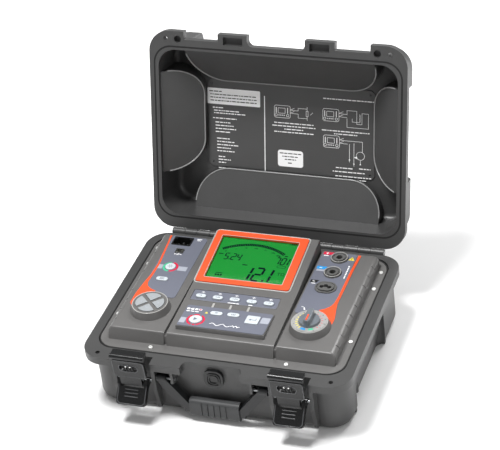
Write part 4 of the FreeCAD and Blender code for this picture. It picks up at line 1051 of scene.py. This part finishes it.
# ---------------------------------------------------------------- the front panel
@dataclass
class Panel:
    """The moulded panel, its overlays, sockets, ports and printed marks."""

    boss_reach: float = 30.3
    boss_edge: float = 25.4
    boss_top: float = 120.4
    socket_x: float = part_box("test_socket_plus")[0].lerp(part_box("test_socket_plus")[1], 0.5).x / MM
    socket_pitch: float = 35.8
    socket_y: float = 107.0
    pod_back: float = 119.0
    tag_reach: float = 26.5
    finishes: dict[str, Finish] = field(default_factory=lambda: {
        "front_panel": PANEL, "panel_screws": BRIGHT_STEEL, "overlay_left": OVERLAY, "overlay_right": OVERLAY,
        "overlay_strip": OVERLAY, "overlay_lower": OVERLAY, "test_socket_plus": SOCKET,
        "test_socket_minus": SOCKET, "test_socket_guard": SOCKET, "socket_contacts": BRASS,
        "mains_inlet": INLET, "inlet_blades": STEEL, "data_port": NICKEL})

    def dress(self) -> None:
        """Give the panel's CAD nodes their finishes."""
        for node, finish in self.finishes.items():
            dress_node(node, finish)

    def stripe(self, side: str, outer: Outline, inner: Outline, corner: Outline, boss: Outline) -> None:
        """Print the orange stripe that widens towards a boss.

        Args:
            side: Which pod it is on.
            outer: Its edge towards the shoulder, from the back to where it widens.
            inner: Its edge towards the overlay, with as many points.
            corner: The rest of the inner edge, round the overlay's corner to the boss.
            boss: The boss's outline, from the end of the corner round to the shoulder.
        """
        plates = Plates(-0.62, 0.12)
        plates.band(outer, inner)
        plates.fill([outer[-1], inner[-1]] + corner + boss)
        plates.piece(f"stripe_{side}", PODS, ORANGE, "case")

    def stripes(self) -> None:
        """Print both orange stripes."""
        self.stripe("left", [(-154.5, self.pod_back), (-151.6, 87), (-148.6, 47), (-149.6, 20), (-152.4, 2)],
                    [(-152.0, self.pod_back), (-148.9, 87), (-145.4, 47), (-145.9, 20), (-147.2, 2)],
                    [(-144.5, -6), (-138, -12), (-129, -16)],
                    arc(*ARROW_BOSS, self.boss_reach, 104, 178, 10)
                    + [(-155.5, -48), (-155.6, -27)])
        self.stripe("right", [(142.6, self.pod_back), (140.9, 80), (140.5, 40), (140.2, 18), (140.0, 2)],
                    [(138.6, self.pod_back), (137.1, 80), (136.6, 40), (136.4, 18), (135.0, 2)],
                    [(131.8, -6), (126, -12), (119, -16)],
                    arc(*DIAL_BOSS, self.boss_reach, 84, 22, 10)
                    + [(145.6, -32), (142.0, -12)])

    def round_key_prints(self) -> None:
        """Print the round key's pale band and its ring, half green and half red."""
        x, y = ROUND_KEY
        pale = Plates()
        for left, right in ((-147, x - 12), (x + 12, -101)):
            pale.fill([(left, y - 6.5), (right, y - 6.5), (right, y + 3.5), (left, y + 3.5)])
        pale.piece("key_band_left", PODS, PALE_INK, "case")
        for name, start, stop, ink in (("green", 100, 265, GREEN_INK), ("red", -85, 82, RED_INK)):
            half_ring = Plates().ring(x, y, 8.6, 11.6, start, stop)
            half_ring.piece(f"ring_{name}", PODS, ink, "case")

    def port_sign(self) -> None:
        """Print the data port's branching sign and two short rows of print on the left pod."""
        white = Plates()
        x, y = ROUND_KEY[0], 75.0
        white.line([(x - 5, y), (x + 4, y)], 0.7)
        white.line([(x - 1.5, y), (x + 0.2, y + 1.8), (x + 2.6, y + 1.8)], 0.6)
        white.line([(x - 3, y), (x - 1.3, y - 1.8), (x + 0.6, y - 1.8)], 0.6)
        white.fill(disc(x - 5, y, 1.1, 12))
        white.fill([(x + 4, y - 1), (x + 6, y), (x + 4, y + 1)])
        for i in range(2):
            white.fill(rounded(-107, 116 - 3.2 * i, 8 - 2 * i, 1.5, 0.3))
        white.piece("left_signs", PODS, WHITE_INK, "case")

    def socket_rows(self) -> list[float]:
        """Give the y of each test socket, from the back."""
        return [self.socket_y - self.socket_pitch * i for i in range(3)]

    def socket_tags(self) -> None:
        """Print the coloured tag of each test socket, with its sign."""
        rows = self.socket_rows()
        left = self.socket_x - self.tag_reach
        tags = (("red", rows[0] + 9.4, RED_INK, 15.5), ("blue", rows[1] + 9.8, BLUE_INK, 15.5),
                ("black", rows[2] + 12.4, BLACK_INK, 12.5))
        for name, y, finish, long in tags:
            tag = [(left, y - 3.2), (left + long - 3, y - 3.2), (left + long, y + 3.2), (left, y + 3.2)]
            Plates().fill(tag).piece(f"tag_{name}", PODS, finish, "case")
        white = Plates(INK, 2 * INK)
        for y in rows[:2]:
            white.fill(rounded(left + 6, y + 9.6, 4.2, 1.0))
        for dy in (11.2, 8.1):
            white.fill(rounded(left + 6, rows[0] + dy, 1.0, 1.7))
        white.fill(rounded(left + 5, rows[2] + 12.4, 3.6, 1.1))
        white.piece("tag_signs", PODS, WHITE_INK, "case")

    def right_signs(self) -> None:
        """Print the rows of marks beside the sockets, the dial's turning arrow and the pale tag."""
        rows = self.socket_rows()
        left = self.socket_x - self.tag_reach
        marks = Plates()
        for y, long in ((rows[0] + 3.6, 7), (rows[2] + 7.6, 6)):
            marks.fill(rounded(left + 5.5, y, long, 1.5, 0.3))
        for i in range(8):
            marks.fill(rounded(self.socket_x + 19.4, 90 - 3.9 * i, 2.0, 2.6 + 0.5 * (i % 2), 0.4))
        marks.line(arc(92, -19, 6, 20, 95, 8), 0.8)
        marks.fill([(96.4, -15.0), (99.4, -19.6), (95.6, -18.2)])
        marks.piece("right_signs", PODS, WHITE_INK, "case")
        low, high = rows[1] + 1.6, rows[1] + 5.8
        tag = Plates().fill([(left + 1.0, low), (left + 12, low), (left + 13.4, high), (left + 1.0, high)])
        tag.piece("tag_field", PODS, PALE_INK, "case")

    def caution_sign(self) -> None:
        """Print the yellow triangle and its bolt beside the first socket."""
        x, y = self.socket_x + 18.2, self.socket_y + 1.4
        triangle = Plates().fill([(x - 4.6, y - 3.4), (x + 4.6, y - 3.4), (x, y + 4.8)])
        triangle.piece("caution_field", PODS, YELLOW_INK, "case")
        bolt = Plates(INK, 2 * INK)
        bolt.line([(x + 0.8, y + 2.6), (x - 0.8, y + 0.2), (x + 0.7, y - 0.2), (x - 0.6, y - 2.6)], 0.7)
        bolt.piece("caution_bolt", PODS, BLACK_INK, "case")

    def lead_bars(self) -> None:
        """Add the three pale bars that lead from the lower block to the key strip."""
        bars = Plates(0.0, 0.4)
        for x, y, long in ((-32.5, 70.2, 9.4), (-6.4, 70.2, 9.4), (20.2, 70.6, 10.0)):
            bars.fill(rounded(x, y, 3.0, long, 0.6))
        bars.piece("lead_bars", STRIP, PALE_TRIM_AND_HIGHLIGHT, "case")

    def lower_prints(self) -> None:
        """Print the lower block's bands, start ring, rows of marks, waves and caution signs."""
        face = LOWER.raised(0.62)
        pale = Plates()
        pale.fill([(-66.8, 7.0), (-58.6, 7.0), (-58.6, 19.6), (-66.8, 19.6)])
        pale.fill([(47.2, 26.5), (59.6, 26.5), (59.6, 40.5), (47.2, 40.5)])
        pale.piece("key_bands_lower", face, PALE_INK, "case")
        ring = Plates()
        for start, stop in ((-70, 62), (78, 118), (128, 252), (262, 282)):
            ring.ring(-44.5, 17.0, 10.6, 13.4, start, stop)
        ring.piece("start_ring", face, RED_INK, "case")
        white = Plates()
        for i in range(4):
            white.fill(rounded(-63.5 + 6 * i, 41.5, 4.4, 3.6, 0.8))
        for i in range(3):
            white.fill(rounded(-62.5 + 6.6 * i, 36.0, 5.2, 1.6, 0.3))
        wave = [(-22 + 0.75 * i, 11.5 + 2.4 * math.sin(i / 40 * 4 * math.pi)) for i in range(41)]
        white.line(wave, 0.9)
        white.line([(9, 11.5), (11, 11.5), (12.2, 13.2), (14.6, 9.8), (17, 13.2), (19.4, 9.8), (20.6, 11.5),
                    (23, 11.5)], 0.9)
        white.piece("lower_signs", face, WHITE_INK, "case")
        caution = Plates().fill([(-37, 34.6), (-32.6, 34.6), (-34.8, 38.6)])
        caution.piece("lower_caution", face, YELLOW_INK, "case")
        red = Plates(INK, 2 * INK).fill(rounded(-45.5, 41.5, 2.6, 2.2, 0.3))
        red.piece("lower_red", face, RED_INK, "case")

    def strip_prints(self) -> None:
        """Print the small dial over each key of the strip, and the two dashes under them."""
        top = Plates()
        for i in range(5):
            x = strip_key_x(i)
            top.line(arc(x, 95.6, 2.4, 20, 160, 8), 0.7)
            top.fill(rounded(x, 96.6, 0.8, 2.4))
        top.fill(rounded(-5.5, 80.4, 17, 1.3, 0.3))
        top.fill(rounded(20.0, 80.4, 6, 1.3, 0.3))
        top.piece("strip_signs", STRIP.raised(-0.38), WHITE_INK, "case")

    def edge_lines(self) -> None:
        """Add the moulded edges round the bosses, the sockets, the display and the key strip, and a black
        cord in the gap round the panel; the pale edges round the bosses, the sockets and the display are
        painted highlights, and the cord is partly a seal and partly painted shade.
        """
        for name, boss in (("pad", ARROW_BOSS), ("dial", DIAL_BOSS)):
            edge = in_space(disc(*boss, self.boss_edge, 64), self.boss_top)
            swept(f"boss_edge_{name}", edge, 0.7, PALE_TRIM_AND_HIGHLIGHT, "case", Matrix.Scale(MM, 4), True, 0.8)
        # A black foam cord in the gap between flange and panel: partly a seal, partly painted shade that
        # darkens the gap.
        swept("panel_seal_and_gap_shade", in_space(rounded(0, 4.5, 363.5, 267.4, 27), 90.6), 1.35, GASKET, "case",
              Matrix.Scale(MM, 4), True, 1.0)
        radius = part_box("test_socket_plus")[1].x / MM - self.socket_x
        for name, y in (("plus", self.socket_y), ("minus", self.socket_y - self.socket_pitch)):
            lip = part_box(f"test_socket_{name}")[1].z / MM
            edge = in_space(disc(self.socket_x, y, radius - 1.0, 48), lip)
            swept(f"socket_lip_{name}", edge, 0.6, PALE_TRIM_AND_HIGHLIGHT, "case", Matrix.Scale(MM, 4), True, 0.8)
        swept("display_edge", in_space(rounded(-6, 59, 145.4, 114.4, 5), 0.1), 1.2, PALE_TRIM_AND_HIGHLIGHT, "case",
              DISPLAY.matrix(), True, 0.8)
        swept("strip_edge", in_space(rounded(-6, 90, 131.4, 24.4, 3.2), 0.05), 0.55, PANEL, "case",
              STRIP.matrix(), True, 0.8)


# ---------------------------------------------------------------- the display
@dataclass
class Display:
    """The lit display with its window, frame and the figures that it shows."""

    slant: float = 0.14
    sticks: dict[str, str] = field(default_factory=lambda: {
        "0": "abcdef", "1": "bc", "2": "abged", "3": "abgcd", "4": "fgbc", "5": "afgcd", "6": "afgedc",
        "7": "abc", "8": "abcdefg", "9": "abcdfg"})
    scale_x: float = -11.5
    scale_y: float = 8.5
    scale_radius: float = 85.5
    depth: float = 2.6

    def face(self) -> Surface:
        """Give the surface on which the liquid crystal shows its figures."""
        return DISPLAY.raised(-self.depth)

    def dress(self) -> None:
        """Give the display's CAD nodes their finishes."""
        dress_node("lcd_bezel", ORANGE)
        dress_node("lcd_window", GLASS)
        dress_node("lcd_module", LCD)

    def figure(self, plates: Plates, sign: str, x: float, y: float, tall: float) -> float:
        """Add one seven-stick figure.

        Args:
            plates: What gets the sticks.
            sign: The figure, or a point.
            x: Its left side.
            y: Its foot.
            tall: Its height.

        Returns:
            Where the next figure starts.
        """
        thick = tall * 0.13
        wide = tall * 0.42
        if sign == ".":
            plates.fill(rounded(x + thick * 0.2, y + thick / 2, thick, thick))
            return x + thick * 1.3
        if sign == "1":
            x -= wide - thick
        gap = thick * 0.25
        half = tall / 2
        spots = {"a": ((gap, tall), (wide - gap, tall)), "b": ((wide, tall - gap), (wide, half + gap)),
                 "c": ((wide, half - gap), (wide, gap)), "d": ((gap, 0), (wide - gap, 0)),
                 "e": ((0, half - gap), (0, gap)), "f": ((0, tall - gap), (0, half + gap)),
                 "g": ((gap, half), (wide - gap, half))}
        for stick in self.sticks[sign]:
            ends = [(x + px + (py * self.slant), y + py) for px, py in spots[stick]]
            plates.line(ends, thick)
        return x + wide + tall * 0.22

    def figures(self) -> None:
        """Show the reading, the two small values, the scale's arcs and the small signs."""
        dark = Plates()
        values = (("12.1", -8.0, 20.0, 27.0), ("5.24", -52.0, 58.5, 13.0), ("701", 25.5, 59.0, 14.0))
        for text, x, y, tall in values:
            at = x
            for sign in text:
                at = self.figure(dark, sign, at, y, tall)
        for shift, wide in ((2.1, 0.8), (-2.1, 0.6)):
            dark.line(arc(self.scale_x, self.scale_y, self.scale_radius + shift, 124, 56.5, 32), wide)
        dark.line(rounded(43.6, 104.2, 11, 4, 0.6), 0.6, True)
        dark.line(rounded(38.6, 54.2, 13, 4.2, 2.0), 0.6, True)
        for i in range(3):
            dark.fill(rounded(41 + 2.9 * i, 104.2, 1.8, 2.6))
            dark.fill(rounded(-52.6 + 4 * i, 24.6, 2.8, 3.2))
        dark.fill(rounded(-48.6, 28.6, 10.5, 1.2))
        small = ((-58.6, 69, 7), (27.5, 76.6, 6), (39.5, 77.4, 5), (-16, 50.5, 8), (-27.6, 59.4, 3.2))
        for x, y, long in small:
            dark.fill(rounded(x, y, long, 1.6, 0.4))
        dark.piece("lcd_figures", self.face(), SEGMENT, "case")

    def scale(self) -> None:
        """Show the scale's bars along their arc, with a figure at each decade, and the unit."""
        face = self.face()
        bars = grow(repeat_tree(Layout.RING, Block.BRICK, SEGMENT), {
            "Count": 38, "Start": (self.scale_x, self.scale_y, INK / 2), "Radius": self.scale_radius,
            "First Angle": math.radians(57.2), "Step Angle": math.radians(1.79), "Size": (3.6, 2.1, INK)})
        bars.transform(face.matrix())
        finish_piece("lcd_scale", bars, SEGMENT, "case")
        signs = []
        decades = (("0", 122), ("1", 111), ("10", 100), ("100", 89), ("1k", 78), ("10k", 68), ("T", 58))
        for text, angle in decades:
            turn = math.radians(angle)
            signs.append(letters(text, 3.0, self.scale_x + 78.6 * math.cos(turn),
                                 self.scale_y + 78.6 * math.sin(turn)))
        signs.append(letters("TΩ", 6.0, 42.5, 38.5))
        mesh = merged(signs)
        mesh.transform(face.matrix())
        finish_piece("lcd_signs", mesh, SEGMENT, "case")

    def inner_frame(self) -> None:
        """Add the pale strip between the orange frame and the window, a painted highlight along the window's
        edge.
        """
        strip = Plates(0.0, 0.1).line(rounded(-7, 59, 119.2, 91.2, 2), 0.9, True)
        strip.piece("window_frame", DISPLAY.raised(1.82), PALE_TRIM_AND_HIGHLIGHT, "case")


# ---------------------------------------------------------------- the keys
@dataclass
class Keys:
    """Every key with its sign."""

    strip: tuple[str, ...] = ("f1", "f2", "f3", "f4", "f5")
    lower: tuple[str, ...] = ("start", "escape", "store", "enter")
    pods: tuple[str, ...] = ("light", "menu")
    arrows: tuple[str, ...] = ("right", "up", "left", "down")
    key_height: float = 2.22

    def dress(self) -> None:
        """Give the keys their finish."""
        for key in self.strip + self.lower + self.pods:
            dress_node(f"key_{key}", KEY)
        for key in self.arrows:
            dress_node(f"key_{key}", ARROW_KEY)

    def sign(self, key: str, place: Surface, plates: Plates) -> None:
        """Finish a key's sign, which rides on the key."""
        plates.piece(f"sign_{key}", place, PALE_INK if key in self.arrows else OVERLAY, f"key_{key}")

    def top_of(self, key: str) -> Surface:
        """Give the level on which a pod key's sign is printed."""
        return PODS.raised(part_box(f"key_{key}")[1].z / MM - TOP_OF_OVERLAY + 0.02)

    def strip_signs(self) -> None:
        """Print a dash and a few short bars on each key of the strip."""
        for i, key in enumerate(self.strip):
            x = strip_key_x(i)
            mark = Plates()
            mark.line([(x - 3.4, 87), (x - 0.8 - 0.3 * i, 87)], 0.7)
            for j in range(i % 3 + 1):
                mark.fill(rounded(x + 0.6 + 1.8 * j, 87, 0.9, 2.8 - 0.5 * j, 0.2))
            self.sign(key, STRIP.raised(self.key_height), mark)

    def lower_signs(self) -> None:
        """Print the arrow, the cross, the tray and the return arrow on the lower keys."""
        top = LOWER.raised(self.key_height)
        self.sign("start", top, Plates().fill([(-47.2, 13.6), (-41.0, 17.0), (-47.2, 20.4)]))
        cross = Plates().line([(-22, 34.8), (-18, 38.2)], 0.8).line([(-22, 38.2), (-18, 34.8)], 0.8)
        self.sign("escape", top, cross)
        tray = Plates().line([(2.4, 38.6), (2.4, 36), (7.6, 36), (7.6, 38.6)], 0.7)
        self.sign("store", top, tray.fill([(3.6, 38.6), (6.4, 38.6), (5.0, 36.8)]))
        back = Plates().line([(40.4, 34.4), (40.4, 30.0), (33.0, 30.0)], 0.9)
        self.sign("enter", top, back.fill([(33.4, 27.6), (33.4, 32.4), (30.2, 30.0)]))

    def pod_signs(self) -> None:
        """Print the sun and the list on the left pod's keys."""
        x, y = ROUND_KEY
        sun = Plates().ring(x, y, 1.6, 2.3)
        for i in range(8):
            c, s = math.cos(i * math.pi / 4), math.sin(i * math.pi / 4)
            sun.line([(x + 3.1 * c, y + 3.1 * s), (x + 4.6 * c, y + 4.6 * s)], 0.6)
        self.sign("light", self.top_of("light"), sun)
        lines = Plates()
        for i in range(3):
            lines.fill(rounded(-129, 10.9 + 1.6 * i, 7, 0.7))
        self.sign("menu", self.top_of("menu"), lines)

    def arrow_signs(self) -> None:
        """Print an arrowhead on each arrow key."""
        for i, key in enumerate(self.arrows):
            along = Vector((math.cos(i * math.pi / 2), math.sin(i * math.pi / 2)))
            across = Vector((-along.y, along.x))
            tip = Vector(ARROW_BOSS) + along * 13.4
            wings = [tip - along * 2.2 + across * 2.8, tip, tip - along * 2.2 - across * 2.8]
            self.sign(key, self.top_of("up"), Plates().line([(p.x, p.y) for p in wings], 0.7))


# ---------------------------------------------------------------- the selector
@dataclass
class Selector:
    """The dial with its scale, the knob and its pointer."""

    x: float = DIAL_BOSS[0]
    y: float = DIAL_BOSS[1]

    def dress(self) -> None:
        """Give the selector's CAD nodes their finishes."""
        dress_node("dial_plate", DIAL)
        dress_node("selector_knob", KNOB)
        dress_node("knob_pointer", ORANGE)

    def face(self) -> Surface:
        """Give the dial's upper face."""
        return Surface((0.0, 0.0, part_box("dial_plate")[1].z / MM))

    def ring_of_ticks(self, name: str, count: int, first: float, last: float, radius: float,
                      size: tuple[float, float], finish: Finish) -> None:
        """Add evenly spaced ticks round part of the dial.

        Args:
            name: The piece's name.
            count: How many ticks there are.
            first: The first tick's angle in degrees.
            last: The last tick's angle in degrees.
            radius: Where the ticks' middles lie.
            size: A tick's length and width.
            finish: Its finish.
        """
        mesh = grow(repeat_tree(Layout.RING, Block.BRICK, finish), {
            "Count": count, "Start": (self.x, self.y, INK / 2), "Radius": radius,
            "First Angle": math.radians(first), "Step Angle": math.radians((last - first) / (count - 1)),
            "Size": (size[0], size[1], INK)})
        mesh.transform(self.face().matrix())
        finish_piece(name, mesh, finish, "case")

    def scale(self) -> None:
        """Print the dial's scale."""
        self.ring_of_ticks("dial_ticks_yellow", 11, 88, 236, 18.2, (3.2, 1.5), YELLOW_INK)
        self.ring_of_ticks("dial_ticks_red", 7, -38, 66, 18.2, (2.6, 0.9), RED_INK)
        self.ring_of_ticks("dial_ticks_dark", 21, -60, 260, 16.3, (0.9, 0.4), BLACK_INK)
        face = self.face()
        for name, start, stop, ink in (("blue", 246, 268, BLUE_INK), ("green", 282, 302, GREEN_INK)):
            part = Plates().ring(self.x, self.y, 16.6, 20.6, start, stop)
            part.piece(f"dial_field_{name}", face, ink, "case")
        marks = []
        for i in range(12):
            turn = math.radians(232 - 26.5 * i)
            marks.append(letters(str(i + 1), 2.3, self.x + 22.0 * math.cos(turn),
                                 self.y + 22.0 * math.sin(turn)))
        mesh = merged(marks)
        mesh.transform(face.matrix())
        finish_piece("dial_numbers", mesh, BLACK_INK, "case")


# ---------------------------------------------------------------- the studio
@dataclass
class Studio:
    """The floor, the lights and the camera."""

    azimuth: float = 22.26
    elevation: float = 34.65
    roll: float = -7.13
    target: tuple[float, float, float] = (0.02379, 0.0, 0.23405)
    distance: float = 2.64536
    sensor_mm: float = 36.0
    lens_mm: float = 137.17152
    surround: float = 0.36
    floor_reach: float = 6.0
    floor_gap: float = 0.0005

    def camera(self) -> None:
        """Set the camera."""
        data = bpy.data.cameras.new("camera")
        data.sensor_width = self.sensor_mm
        data.lens = self.lens_mm
        data.clip_end = 30.0
        camera = bpy.data.objects.new("camera", data)
        bpy.context.scene.collection.objects.link(camera)
        azimuth, elevation = math.radians(self.azimuth), math.radians(self.elevation)
        back = Vector((math.sin(azimuth) * math.cos(elevation), -math.cos(azimuth) * math.cos(elevation),
                       math.sin(elevation)))
        right = Vector((math.cos(azimuth), math.sin(azimuth), 0.0))
        up = back.cross(right)
        turn = Matrix((right, up, back)).transposed() @ Matrix.Rotation(math.radians(self.roll), 3, "Z")
        camera.matrix_world = Matrix.Translation(Vector(self.target) + back * self.distance) @ turn.to_4x4()
        bpy.context.scene.camera = camera

    def light(self, name: str, place: tuple[float, float, float], size: float, power: float) -> None:
        """Add a soft light that looks at the object.

        Args:
            name: The light's name.
            place: Where it hangs.
            size: Its width.
            power: Its power in watts.
        """
        data = bpy.data.lights.new(name, "AREA")
        data.shape = "DISK"
        data.size = size
        data.energy = power
        lamp = bpy.data.objects.new(name, data)
        bpy.context.scene.collection.objects.link(lamp)
        lamp.location = place
        lamp.rotation_euler = (Vector(place) - Vector((0, 0, 0.15))).to_track_quat("Z", "Y").to_euler()

    def lights(self) -> None:
        """Hang the lights and set the pale surroundings."""
        self.light("key", (-0.4, -0.25, 2.3), 0.7, 62.0)
        self.light("fill", (1.8, -1.2, 1.0), 1.2, 6.0)
        self.light("rim", (0.6, 1.7, 1.9), 1.0, 40.0)
        world = bpy.data.worlds.new("world")
        world.use_nodes = True
        tree = world.node_tree
        sky = tree.nodes["Background"]
        sky.inputs["Color"].default_value = linear("#ffffff")
        seen = add_node(tree, "ShaderNodeLightPath").outputs["Is Camera Ray"]
        strength = add_node(tree, "ShaderNodeMapRange", None,
                            {"Value": seen, "To Min": self.surround, "To Max": 1.0})
        tree.links.new(strength.outputs["Result"], sky.inputs["Strength"])
        bpy.context.scene.world = world
        bpy.context.scene.view_settings.view_transform = "Standard"

    def floor(self) -> None:
        """Lay the pale floor."""
        paper = Moulding("paper_floor", "#fbfbfb", "#f8f8f8", 0.8, 2.0, 0.0)
        mesh = bpy.data.meshes.new("floor")
        corners = [(x, y, 0) for x, y in rounded(0, 0, 2 * self.floor_reach, 2 * self.floor_reach)]
        mesh.from_pydata(corners, [], [(0, 1, 2, 3)])
        mesh.materials.append(material_of(paper))
        floor = bpy.data.objects.new("floor", mesh)
        floor.location.z = CAD_BOX[0][2] - self.floor_gap
        bpy.context.scene.collection.objects.link(floor)


def main() -> None:
    """Build everything in order."""
    logging.basicConfig(level=logging.INFO, format="%(name)s: %(message)s")
    studio = Studio()
    studio.camera()
    studio.lights()
    studio.floor()
    case = Case()
    case.dress()
    lid = Lid()
    lid.dress()
    lid.white_print()
    lid.dark_print()
    lid.arch_edges()
    for side, x in (("left", -LATCH_X), ("right", LATCH_X)):
        latch = Latch(side, x)
        latch.clamp_trim()
        latch.lever_trim()
    panel = Panel()
    panel.dress()
    panel.stripes()
    panel.round_key_prints()
    panel.port_sign()
    panel.socket_tags()
    panel.right_signs()
    panel.caution_sign()
    panel.lead_bars()
    panel.lower_prints()
    panel.strip_prints()
    panel.edge_lines()
    display = Display()
    display.dress()
    display.figures()
    display.scale()
    display.inner_frame()
    keys = Keys()
    keys.dress()
    keys.strip_signs()
    keys.lower_signs()
    keys.pod_signs()
    keys.arrow_signs()
    selector = Selector()
    selector.dress()
    selector.scale()


if __name__ == "__main__":
    main()
